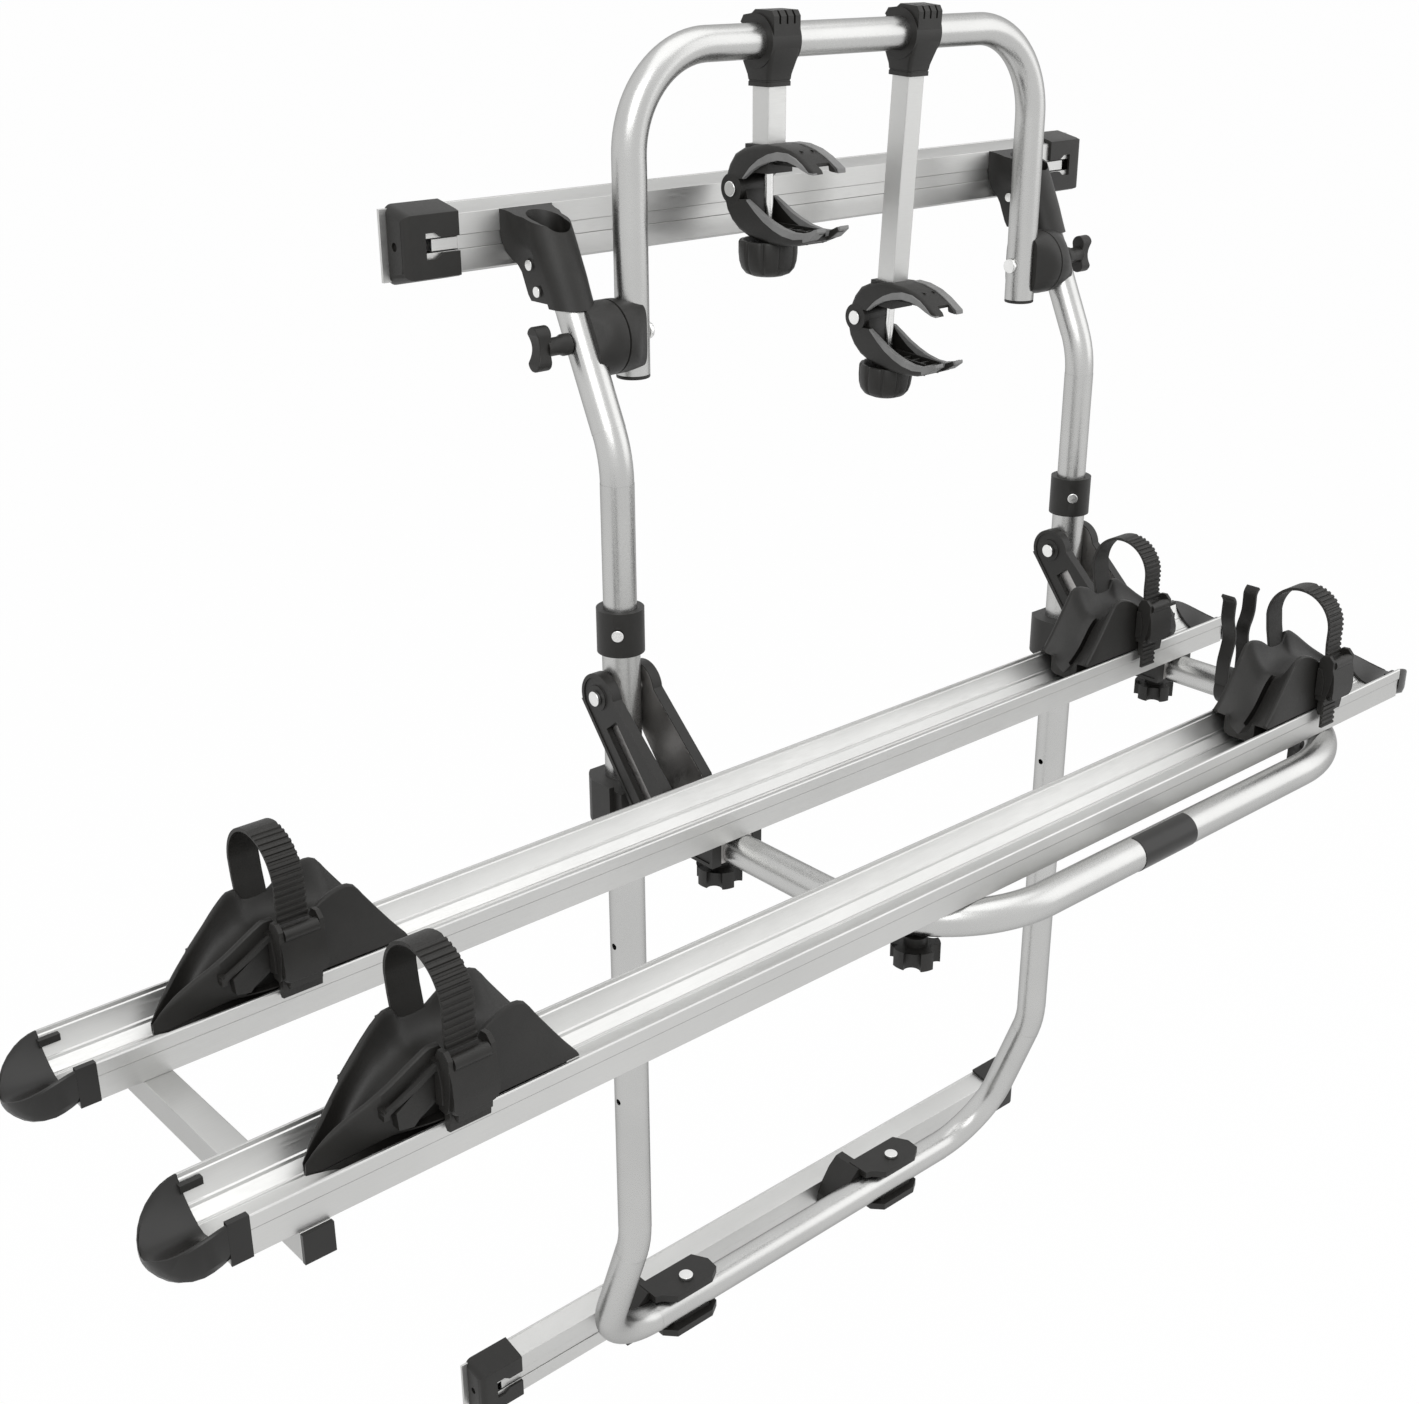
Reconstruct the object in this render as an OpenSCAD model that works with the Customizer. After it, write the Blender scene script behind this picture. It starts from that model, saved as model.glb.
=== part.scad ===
// Rear-wall bike rack for a motorhome: two wheel rails on a folding platform,
// a two-part tube frame between two wall rails, and an arm loop with two clamp arms.
// Millimetres. +X along the wall to the right, +Y into the wall, +Z up.
// Origin: middle of the back face of the lower wall rail.

/* [Wall rails] */
// Length of each wall rail
wall_rail_len = 830; // [700:1:1000]
// Height of a wall rail at the wall
wall_rail_h = 56; // [50:0.5:64]
// Height of its front face
wall_rail_face_h = 44; // [38:0.5:48]
// Depth from the wall to the front face
wall_rail_depth = 25; // [22:0.5:32]
// Wall thickness of the rail profile
wall_rail_t = 2.5; // [2:0.1:3.5]
// Height of the open slot in the front face
slot_h = 11; // [9:0.1:14]
// Height between the two rails, centre to centre
wall_rail_gap = 1132; // [1090:1:1180]
// Length of the plastic end caps of the wall rails
wall_cap_len = 50; // [35:1:70]
// Wall thickness of those caps
wall_cap_t = 3; // [2:0.1:4]
// Length of bare rail past a cap
wall_cap_inset = 6; // [3:0.5:10]

/* [Tube frame] */
// Distance between the two uprights
upright_gap = 586; // [520:1:640]
// Distance from the wall to the uprights
stand_off = 134; // [120:1:150]
// Outer diameter of the lower tube
lower_tube_d = 32; // [30:0.1:36]
// Wall thickness of the lower tube
lower_tube_t = 1.9; // [1.2:0.1:2.5]
// Radial play between the telescoping tubes
tube_play = 0.1; // [0.05:0.01:0.3]
// Wall thickness of the upper tubes
upper_tube_t = 2; // [1.2:0.1:3]
// Height of the open top of the lower tube
lower_tube_top = 822; // [800:1:840]
// Height where the lower tube starts to bend to the wall
lower_bend_z = 218; // [190:1:260]
// Angle of the bent foot of the lower tube
foot_angle = 20; // [15:0.5:25]
// Bend radius of both uprights
bend_r = 100; // [70:1:120]
// Corner radius of the bottom run
corner_r = 75; // [55:1:95]
// Height of the bottom run above the middle of the lower rail
run_rise = 21.5; // [18:0.5:26]
// Height of the lower end of the upper tubes
upper_tube_low = 640; // [600:1:690]
// Height where the upper tubes start to lean to the wall
upper_bend_z = 948; // [930:1:970]
// Angle of lean of the upper tubes
lean_angle = 25; // [22:0.5:27]
// Height of the tube collars
collar_h = 38; // [30:1:46]
// Wall thickness of the collars
collar_t = 4; // [3:0.1:5]

/* [Arm loop] */
// Outer diameter of the loop tube
loop_d = 28; // [25:0.1:30]
// Wall thickness of the loop tube
loop_t = 2; // [1.2:0.1:3]
// Distance from an upright's middle to that of the loop's leg beside it
swivel_offset = 51; // [48:0.5:54]
// Height of the swivel axis above the lower rail
swivel_z = 1056; // [1045:1:1070]
// Height of the loop's bar above the swivel axis
loop_rise = 217; // [190:1:240]
// Length of the legs below the swivel axis
loop_drop = 33; // [31:0.5:40]
// Corner radius of the loop
loop_corner_r = 80; // [60:1:100]
// Diameter of the swivel discs
swivel_d = 60; // [50:0.5:62]
// Gap between two swivel halves
swivel_seam = 0.4; // [0.3:0.05:0.8]
// Diameter of the swivel bolt
swivel_bolt_d = 8; // [6:0.5:9]

/* [Clamp arms] */
// Place of the short arm along the bar
short_arm_x = -93; // [-110:1:-60]
// Place of the long arm along the bar
long_arm_x = 75; // [50:1:110]
// Depth of the short arm's jaw pivot below the bar
short_arm_drop = 118; // [112:1:140]
// Depth of the long arm's jaw pivot below the bar
long_arm_drop = 252; // [235:1:265]
// Tilt of the long arm towards the wall
long_arm_tilt = 3.3; // [0:0.1:5]
// Side of the square arm tube
arm_tube_w = 20; // [18:0.5:22]
// Wall thickness of the arm tube
arm_tube_t = 2; // [1.5:0.1:3]
// Width of the clamp on the bar
bar_clamp_w = 32; // [28:0.5:36]
// Wall of the clamp round the bar
bar_clamp_t = 7; // [5:0.5:9]
// Overall width of a jaw
jaw_w = 36; // [32:0.5:40]
// Side wall thickness of a jaw
jaw_t = 4; // [3:0.5:6]
// Thickness of the rubber pads
pad_t = 3; // [2:0.1:4]
// Length of a jaw from its pivot to the tips
jaw_reach = 100; // [90:1:110]
// Distance from the jaw's pivot to the arm tube
jaw_set_back = 27; // [25:0.5:30]
// Diameter of the jaw's pivot bolt
jaw_bolt_d = 8; // [6:0.5:9]
// Diameter of the clamping spindle
spindle_d = 8; // [6:0.5:9]
// Diameter of the clamping knob
jaw_knob_d = 50; // [44:0.5:54]
// Height of the clamping knob
jaw_knob_h = 30; // [24:0.5:34]

/* [Platform] */
// Length of the aluminium wheel rails
wheel_rail_len = 1200; // [1100:1:1300]
// Overhang of the wheel rails past the right upright
rail_overhang = 64; // [50:1:80]
// Width of a wheel rail
wheel_rail_w = 61.5; // [58:0.5:66]
// Height of a wheel rail
wheel_rail_h = 27; // [25:0.5:32]
// Wall thickness of a wheel rail
wheel_rail_t = 2.6; // [2:0.1:3.2]
// Distance from the uprights to the rear wheel rail's rear face
rear_rail_gap = 91.5; // [85:0.5:100]
// Distance from the wall to the front wheel rail's front face
platform_reach = 480; // [470:1:500]
// Height of the top of the wheel rails
platform_z = 718; // [705:1:730]
// Height of the fold axis above the wheel rails
fold_rise = 52; // [46:1:60]
// Outer diameter of the platform tube
platform_tube_d = 28; // [25:0.1:30]
// Wall thickness of the platform tube
platform_tube_t = 2; // [1.5:0.1:3]
// Corner radius of the platform tube
platform_corner_r = 120; // [90:1:130]
// Overhang of the platform tube past the front rail
front_overhang = 15; // [10:0.5:20]
// Distance of the cross bar from the left end of the rails
cross_bar_in = 51; // [40:1:70]
// Side of the square cross bar
cross_bar_w = 20; // [18:0.5:24]
// Thickness of the brace plates
brace_t = 3; // [2:0.1:4]
// Thickness of the brace covers
brace_cover_t = 6; // [4:0.5:8]
// Diameter of the fold bolts
fold_bolt_d = 10; // [8:0.5:12]
// Length of a wheel rail's end cap past the rail
rail_cap_len = 36; // [28:1:44]
// Offset of the storage clip to the wall, from the middle between the rails
clip_offset = 9.8; // [0:0.1:14]
// Height of the storage clip's prongs above the tube
clip_h = 85; // [78:1:90]

/* [Wheel holders] */
// Length of a wheel holder
cup_len = 176; // [160:1:190]
// Height of its walls above the rail
cup_h = 57; // [50:1:62]
// Wall thickness of a wheel holder
cup_t = 3.5; // [3:0.1:5]
// Distance from the rails' left ends to the left holders
left_cup_in = 63; // [50:1:90]
// Distance from the rails' right ends to the right holders
right_cup_in = 38; // [26:1:60]
// Width of a strap
strap_w = 22; // [18:0.5:24]
// Thickness of a strap
strap_t = 3; // [2:0.1:4]
// Height of a strap's loop above the rail
strap_top = 104; // [95:1:112]
// Width of a buckle
buckle_w = 32; // [28:0.5:36]

/* [Hidden] */
$fn = 48;
// Overrun of every cut past the face it opens
over = 1;
// Gap between seated pieces, and the wider gap between pieces that move past each other
seat = 0.1;
gap = 0.4;
// Running fit of a pin in its bore, on the radius
pin_fit = 0.05;

// Places on the tube frame
upright_x = upright_gap / 2;
frame_y = -stand_off;
upper_tube_d = lower_tube_d - 2 * lower_tube_t - 2 * tube_play;
foot_end_y = frame_y + bend_r * (1 - cos(foot_angle));
foot_end_z = lower_bend_z - bend_r * sin(foot_angle);
foot_len = (foot_end_z - run_rise) / cos(foot_angle);
run_y = foot_end_y + foot_len * sin(foot_angle);
lean_end_y = frame_y + bend_r * (1 - cos(lean_angle));
lean_end_z = upper_bend_z + bend_r * sin(lean_angle);
function lean_y(z) = lean_end_y + (z - lean_end_z) * tan(lean_angle);
tube_over_rail = 11;
// What a bend draws off its tube's diameter, and how far the straight tubes run into the bend
bend_draw = 0.4;
bend_lap = 1;
lean_len = (wall_rail_gap + tube_over_rail - lean_end_z) / cos(lean_angle);
leg_hole_z = [365, 529];
leg_hole_d = 6;
swivel_y = lean_y(swivel_z);
loop_x = upright_x - swivel_offset;
bar_z = swivel_z + loop_rise;
rail_front_y = -wall_rail_depth;
rail_slope = (wall_rail_h - wall_rail_face_h) / 2 / wall_rail_depth;

// Clamps of the lower wall rail: their plates in shares of the half length and of the depth
clamp_places = [-175, 137];
clamp_front_shares = [[-1, -0.3], [-0.7, -1], [0.6, -1], [0.95, -0.5]];
clamp_back_shares = [[1, 0.3], [0.75, 1]];
clamp_tail_share = 0.3;
clamp_half = 37;
clamp_front = 17;
clamp_back = 24;
clamp_tail = 74;
clamp_plate_t = 8;
clamp_lift = 2.5;
clamp_bolt_d = 8;
clamp_bolt_head_d = 15;
clamp_bolt_head_h = 4;
clamp_arm_w = 22;
clamp_arm_x = -63;
clamp_tongue_depth = 13;
clamp_hook_h = 26;
clamp_hook_t = 9;

// Collars, stops and their bolts
collar_lap = 16;
collar_z = lower_tube_top - collar_lap;
collar_d = lower_tube_d + 2 * collar_t;
collar_screw_up = 20;
collar_screw_z = collar_z + collar_screw_up;
collar_screw_d = 6;
collar_screw_head_d = 10;
collar_screw_head_h = 3;
collar_screw_turn = 225;
stop_drop = 22.9;
stop_h = 40;
stop_reach = 33.6;
stop_side = 30;
stop_back = 24;
latch_t = 5;
latch_w = 24;
latch_over = 4;

// Brackets of the upper rail
socket_d = 37;
socket_below = 47;
socket_above = 22;
socket_low = wall_rail_gap - socket_below;
socket_high = wall_rail_gap + socket_above;
bracket_flange_w = 52;
bracket_flange_t = 5;
bracket_low = 22;
bracket_web_w = 16;
bracket_tongue_w = 40;
bracket_screw_d = 6;
bracket_screw_head_d = 9;
bracket_screw_head_h = 3;
bracket_screw_drops = [22, 42];
bracket_screw_past = 8.5;
bracket_screw_places = [for (drop = bracket_screw_drops)
    [lean_y(wall_rail_gap - drop) + socket_d / 2 / cos(lean_angle) + bracket_screw_past,
        wall_rail_gap - drop]];

// Swivels
swivel_seam_x = (loop_x + loop_d / 2 + upright_x - upper_tube_d / 2) / 2;
saddle_step = 2.9;
swivel_half_t = (swivel_offset - loop_d / 2 - upper_tube_d / 2 - swivel_seam) / 2 - saddle_step;
saddle_h = 54;
saddle_wall = 5;
swivel_head_d = 14;
swivel_head_h = 4;
knob_stem_d = 17;
knob_stem_l = 22;
knob_head_l = 40;
knob_head_w = 16;
knob_head_t = 13;
bolt_into_knob = 12;

// Jaws of the clamp arms, as shares of the jaw's length: y outward is negative
jaw_top_outer_shares = [[0.08, 0.1], [-0.01, 0.28], [-0.23, 0.36], [-0.51, 0.385], [-0.69, 0.36],
    [-0.87, 0.29], [-0.97, 0.24]];
jaw_top_inner_shares = [[-0.99, 0.2], [-0.87, 0.22], [-0.74, 0.26], [-0.56, 0.265], [-0.33, 0.21],
    [-0.14, 0.11]];
jaw_low_outer_shares = [[0.11, -0.12], [0.03, -0.24], [-0.14, -0.35], [-0.33, -0.4], [-0.61, -0.4],
    [-0.84, -0.38], [-1.04, -0.26]];
jaw_low_inner_shares = [[-1.01, -0.23], [-0.88, -0.28], [-0.63, -0.26], [-0.4, -0.18], [-0.19, -0.07]];
jaw_boss_d = 24;
jaw_skin = 3;
jaw_notch_w = 14;
jaw_notch_share = 0.86;
jaw_socket_w = 28;
jaw_socket_low = 18;
jaw_socket_high = 40;
tube_into_jaw = 27;
jaw_head_d = 13;
jaw_head_h = 2;
neck_w = 26;
neck_drop = 50;
neck_start = 8;
neck_end = 32;
lip_w = 24;
lip_h = 10;
lip_top = 23;
spindle_low = 50;
spindle_slot_w = 11;
spindle_slot_out = 6;
spindle_slot_in = 16;
knob_drop = 40.3;
knob_cavity_d = 34;
knob_floor = 10;
knob_lobes = 10;
knob_groove_d = 5;

// Platform
tube_z = platform_z - wheel_rail_h - platform_tube_d / 2 - seat;
fold_z = platform_z + fold_rise;
front_rail_y = -platform_reach + wheel_rail_w / 2;
rear_rail_y = frame_y - rear_rail_gap - wheel_rail_w / 2;
rail_end_x = upright_x + rail_overhang;
wheel_rail_x = rail_end_x - wheel_rail_len / 2;
clip_y = (front_rail_y + rear_rail_y) / 2 + clip_offset;
stop_z = tube_z - stop_drop;
front_run_y = -platform_reach - front_overhang;
tube_plug_t = 3;
tube_rear_y = frame_y - stop_reach - gap - tube_plug_t;
corner_y = front_run_y + platform_corner_r;
corner_x = upright_x - platform_corner_r;
front_knob_y = front_rail_y;
front_knob_x = corner_x + sqrt(pow(platform_corner_r, 2) - pow(corner_y - front_knob_y, 2));
cross_bar_x = rail_end_x - wheel_rail_len + cross_bar_in;
cross_bar_z = platform_z - wheel_rail_h - seat - cross_bar_w / 2;
cross_bar_t = 2;
cross_bar_end_y = -platform_reach;
cross_bar_short = 1;
cross_bar_len = rear_rail_y + wheel_rail_w / 2 - cross_bar_end_y - cross_bar_short;
plug_t = 3;
plug_in = 12;
trough_shares = [[0.455, 0], [0.4, -0.3], [0.3, -0.62], [0.16, -0.85], [0, -0.905]];
rail_void_shares = [[0.455, -0.9], [0.455, -0.36], [0.43, -0.4], [0.33, -0.7], [0.24, -0.9]];
bow_r = 24;
bow_side_r = 40.5;
bow_scoop = 0.8;
bow_scoop_share = 0.5;

// Folding braces: outline about the fold axis, in shares of reach and depth. They run under the rear
// rail, and their upper edge keeps clear of the collar when the platform is folded up
brace_reach = 143;
brace_down = fold_z - tube_z;
brace_rail_gap = 1.2;
brace_step = 8;
brace_shoulder_share = 0.7;
brace_shares = [[-1, -0.903], [-1, -1.096], [-0.392, -1.096], [-0.112, -0.559], [0.14, -0.075]];
brace_window_shares = [[-0.072, -0.271], [-0.159, -0.161], [-0.487, -0.774], [-0.401, -0.884]];
brace_top_d = 40;
brace_gap = 0.5;
brace_in = lower_tube_d / 2 + brace_gap;
brace_boss_d = 22;
brace_boss_h = 1.5;
spacer_h_share = 0.19;
fold_head_d = 13;
fold_head_h = 3.5;
fold_tip_gap = 0.5;

// Wing knobs and storage clip
stud_d = 6;
wing_neck_d = 18;
wing_neck_h = 7;
wing_d = 38;
wing_h = 15;
wing_lobe_d = 13;
wing_lobes = 5;
clip_w = 14;
clip_ring_t = 4;
clip_prong_t = 3.5;

// Wheel holders: outline of the walls and plan, along the length
cup_side_shares = [[0, 0.02], [0.13, 0.46], [0.21, 0.965], [0.3, 0.95], [0.375, 0.88], [0.42, 0.74],
    [0.545, 0.74], [0.557, 0.91], [0.614, 0.88], [0.733, 0.58], [0.852, 0.32], [0.94, 0.09],
    [1, -0.12], [0.9, -0.14], [0.05, -0.14]];
cup_half_w = 28.6;
cup_plan_shares = [[-0.1, 1], [0.52, 1], [0.74, 0.76], [0.9, 0.36], [1.02, 0.04]];
cup_floor = 4;
cup_lift = 0.3;
keel_w = 30;
keel_h = 16;
keel_in = 10;
strap_u = 86;
strap_r = 32;
strap_anchor_z = 20;
anchor_h = 26;
buckle_len = 26;
buckle_t = 5;
buckle_low = 12;
buckle_high = 50;
lever_t = 7;
lever_low = -10;
lever_pivot_z = 43;

// Draws the children and their mirror image across the middle plane
module both_sides() {
    children();
    mirror([1, 0, 0]) children();
}

// Tube bend: starts at the origin heading down, curves to the wall
module bend(r, d, angle) {
    translate([0, r, 0]) rotate([0, 90, 0]) rotate([0, 0, -90])
        rotate_extrude(angle = angle) translate([r, 0]) circle(d = d);
}

// Moves the children from the start of a bend to its end
module past_bend(r, angle) {
    translate([0, r, 0]) rotate([angle, 0, 0]) translate([0, -r, 0]) children();
}

// Profile in (y, z) drawn along X, centred
module along_x(len) {
    rotate([90, 0, 90]) linear_extrude(height = len, center = true) children();
}

// Rod along X, centred
module rod_x(len, d) {
    rotate([0, 90, 0]) cylinder(h = len, d = d, center = true);
}

// Box from its lowest corner to its highest
module span(low, high) {
    translate(low) cube(high - low);
}

// Half the height of a wall rail's outline at a depth, grown square to its sloping faces
function rail_half(y, grow) =
    wall_rail_face_h / 2 + (y + wall_rail_depth) * rail_slope + grow * sqrt(1 + pow(rail_slope, 2));

// Outline of a wall rail, grown by the first value, its back at the second
module wall_rail_outline(grow, back_y) {
    back_h = rail_half(back_y, grow);
    front = rail_front_y - grow;
    face_h = rail_half(front, grow);
    polygon([[back_y, -back_h], [back_y, back_h], [front, face_h], [front, -face_h]]);
}

module wall_rail() {
    body_len = wall_rail_len - 2 * (wall_cap_inset + wall_cap_t + seat);
    difference() {
        union() {
            along_x(body_len) wall_rail_outline(0, 0);
            along_x(wall_rail_len) translate([-wall_rail_t, -wall_rail_h / 2])
                square([wall_rail_t, wall_rail_h]);
        }
        along_x(wall_rail_len) wall_rail_outline(-wall_rail_t, -wall_rail_t);
        along_x(wall_rail_len) translate([rail_front_y - over, -slot_h / 2])
            square([wall_rail_t + 2 * over, slot_h]);
    }
}

module wall_rail_caps() {
    cut_len = wall_cap_len + 2 * over;
    hole_inset = wall_rail_t + wall_cap_t;
    both_sides() translate([wall_rail_len / 2 - wall_cap_inset - wall_cap_len / 2, 0, 0]) difference() {
        along_x(wall_cap_len) wall_rail_outline(wall_cap_t, 0);
        translate([-wall_cap_t, 0, 0]) along_x(wall_cap_len) wall_rail_outline(seat, over);
        along_x(cut_len) translate([-wall_rail_t - seat, -wall_rail_h / 2 - seat])
            square([wall_rail_t + seat + over, wall_rail_h + 2 * seat]);
        along_x(cut_len) wall_rail_outline(-hole_inset, -hole_inset);
        along_x(cut_len) translate([rail_front_y - wall_cap_t - over, -slot_h / 2])
            square([hole_inset + wall_cap_t + over, slot_h]);
    }
}

module lower_wall_rail() {
    color("#c9cbcc") wall_rail();
}

module lower_rail_caps() {
    color("#1b1c1d") wall_rail_caps();
}

module upper_wall_rail() {
    color("#c9cbcc") translate([0, 0, wall_rail_gap]) wall_rail();
}

module upper_rail_caps() {
    color("#1b1c1d") translate([0, 0, wall_rail_gap]) wall_rail_caps();
}

// Path of the lower frame: two legs, two feet and the bottom run
module lower_path(d, extra) {
    foot = foot_len - corner_r;
    run = upright_x - corner_r;
    both_sides() translate([-upright_x, frame_y, lower_bend_z]) {
        translate([0, 0, -bend_lap]) cylinder(h = lower_tube_top - lower_bend_z + bend_lap + extra, d = d);
        bend(bend_r, d - bend_draw, foot_angle);
        past_bend(bend_r, foot_angle) translate([0, 0, -foot]) {
            translate([0, 0, -bend_lap]) cylinder(h = foot + 2 * bend_lap, d = d);
            rotate([0, 0, -90]) bend(corner_r, d - bend_draw, 90);
            translate([corner_r - bend_lap, 0, -corner_r]) rotate([0, 90, 0])
                cylinder(h = run + bend_lap, d = d);
        }
    }
}

module lower_frame() {
    color("#cfd1d2") difference() {
        lower_path(lower_tube_d, 0);
        lower_path(lower_tube_d - 2 * lower_tube_t, over);
        both_sides() translate([upright_x, frame_y, fold_z])
            rod_x(lower_tube_d + over, fold_bolt_d + 2 * seat);
        both_sides() for (z = leg_hole_z)
            translate([upright_x, frame_y, z]) rod_x(lower_tube_d + over, leg_hole_d);
        for (x = clamp_places)
            translate([x, run_y, run_rise - lower_tube_d])
                cylinder(h = 2 * lower_tube_d, d = clamp_bolt_d + 2 * seat);
    }
}

// Plate of a rail clamp: D shape round the bolt, with a tail to the wall
module clamp_plate_outline(tail) {
    polygon(concat([for (p = clamp_front_shares) [p.x * clamp_half, p.y * clamp_front]],
        [for (p = clamp_back_shares) [p.x * clamp_half, p.y * clamp_back]],
        [[-tail, clamp_back], [-tail, clamp_tail_share * clamp_back]]));
}

module clamp_top_jaws() {
    plate_z = run_rise + lower_tube_d / 2 + clamp_lift;
    arm_y = run_y + clamp_back - over;
    color("#1b1c1d") for (x = clamp_places) translate([x, 0, 0]) difference() {
        union() {
            translate([0, run_y, plate_z])
                linear_extrude(height = clamp_plate_t) clamp_plate_outline(clamp_tail);
            span([-clamp_bolt_head_d, run_y - clamp_front / 2, run_rise],
                [clamp_bolt_head_d, run_y + clamp_front / 2, plate_z + over]);
            span([clamp_arm_x - clamp_arm_w / 2, arm_y, -slot_h / 2 + seat],
                [clamp_arm_x + clamp_arm_w / 2, rail_front_y - seat, plate_z + clamp_plate_t]);
            span([clamp_arm_x - clamp_arm_w / 2, arm_y, -slot_h / 2 + seat],
                [clamp_arm_x + clamp_arm_w / 2, rail_front_y + clamp_tongue_depth, slot_h / 2 - seat]);
            span([clamp_arm_x - clamp_arm_w / 2, rail_front_y + wall_rail_t + seat, -clamp_hook_h / 2],
                [clamp_arm_x + clamp_arm_w / 2, rail_front_y + clamp_tongue_depth, clamp_hook_h / 2]);
        }
        translate([0, run_y, run_rise]) rod_x(2 * clamp_tail + over, lower_tube_d + 2 * seat);
        translate([0, run_y, 0]) cylinder(h = 2 * plate_z, d = clamp_bolt_d + 2 * seat);
    }
}

module clamp_bottom_jaws() {
    low_z = run_rise - lower_tube_d / 2 - clamp_lift - clamp_plate_t;
    color("#1b1c1d") for (x = clamp_places) translate([x, run_y, 0]) difference() {
        union() {
            translate([0, 0, low_z]) linear_extrude(height = clamp_plate_t) clamp_plate_outline(clamp_half);
            span([-clamp_back, -clamp_front / 2, low_z + over], [clamp_back, clamp_front / 2, run_rise]);
        }
        translate([0, 0, run_rise]) rod_x(2 * clamp_half + over, lower_tube_d + 2 * seat);
        translate([0, 0, low_z - over]) cylinder(h = run_rise, d = clamp_bolt_d + 2 * seat);
    }
}

module tube_collars() {
    color("#1b1c1d") for (x = [-upright_x, upright_x]) translate([x, frame_y, 0]) difference() {
        translate([0, 0, collar_z]) cylinder(h = collar_h, d = collar_d);
        translate([0, 0, collar_z - over])
            cylinder(h = lower_tube_top - collar_z + over + seat, d = lower_tube_d + 2 * seat);
        translate([0, 0, collar_z]) cylinder(h = collar_h + over, d = upper_tube_d + 2 * tube_play);
        translate([0, 0, collar_screw_z]) rotate([0, 0, collar_screw_turn]) rotate([0, 90, 0])
            translate([0, 0, collar_d / 2 - collar_t / 2 - seat])
                cylinder(h = collar_t, d = collar_screw_d + 2 * seat);
    }
}

// Pivot bolts of the platform, collar screws and clamp bolts: all on the wall side
module frame_bolts() {
    bolt_in = lower_tube_d / 2 - lower_tube_t + fold_tip_gap;
    bolt_out = brace_in + brace_t + brace_cover_t + brace_boss_h + seat;
    bolt_top = run_rise + lower_tube_d / 2 + clamp_lift + clamp_plate_t + seat;
    bolt_low = run_rise - lower_tube_d / 2 - clamp_lift - clamp_plate_t - seat;
    color("#d8d9da") {
        both_sides() translate([upright_x, frame_y, fold_z]) both_sides() rotate([0, 90, 0]) {
            translate([0, 0, bolt_in]) cylinder(h = bolt_out - bolt_in, d = fold_bolt_d);
            translate([0, 0, bolt_out]) cylinder(h = fold_head_h, d = fold_head_d);
        }
        for (x = [-upright_x, upright_x]) translate([x, frame_y, collar_screw_z])
            rotate([0, 0, collar_screw_turn]) rotate([0, 90, 0]) {
                translate([0, 0, collar_d / 2 + seat])
                    cylinder(h = collar_screw_head_h, d = collar_screw_head_d);
                translate([0, 0, collar_d / 2 - collar_t / 2])
                    cylinder(h = collar_t / 2 + over, d = collar_screw_d);
            }
        for (x = clamp_places) translate([x, run_y, 0]) {
            translate([0, 0, bolt_low]) cylinder(h = bolt_top - bolt_low, d = clamp_bolt_d);
            translate([0, 0, bolt_top]) cylinder(h = clamp_bolt_head_h, d = clamp_bolt_head_d);
            translate([0, 0, bolt_low - clamp_bolt_head_h])
                cylinder(h = clamp_bolt_head_h, d = clamp_bolt_head_d);
        }
    }
}

module stop_collars() {
    color("#1b1c1d") both_sides() translate([-upright_x, frame_y, stop_z]) {
        difference() {
            union() {
                span([-stop_side, -stop_reach, 0], [stop_side, 0, stop_h]);
                intersection() {
                    span([-stop_side, -over, 0], [stop_side, stop_back, stop_h]);
                    cylinder(h = stop_h, r = stop_side);
                }
            }
            translate([0, 0, -over]) cylinder(h = stop_h + 2 * over, d = lower_tube_d + 2 * seat);
        }
        span([-stop_side - latch_t, -latch_w, -latch_over], [-stop_side + seat, 0, stop_h + latch_over]);
    }
}

// Path of one upper tube, from its lower end to its top in the bracket
module upper_path(d, extra) {
    straight = upper_bend_z - upper_tube_low + bend_lap;
    translate([upright_x, frame_y, upper_tube_low - extra]) cylinder(h = straight + extra, d = d);
    translate([upright_x, frame_y, upper_bend_z]) mirror([0, 0, 1]) {
        bend(bend_r, d - bend_draw, lean_angle);
        past_bend(bend_r, lean_angle) translate([0, 0, -lean_len - extra])
            cylinder(h = lean_len + extra + bend_lap, d = d);
    }
}

module upper_tubes() {
    color("#cfd1d2") both_sides() difference() {
        upper_path(upper_tube_d, 0);
        upper_path(upper_tube_d - 2 * upper_tube_t, over);
        translate([upright_x, swivel_y, swivel_z]) rod_x(upper_tube_d + over, swivel_bolt_d + 2 * pin_fit);
    }
}

// Along the leaning tube: from one height to another
module lean_rod(low, high, d) {
    translate([upright_x, lean_y(low), low]) rotate([-lean_angle, 0, 0])
        cylinder(h = (high - low) / cos(lean_angle), d = d);
}

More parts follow.
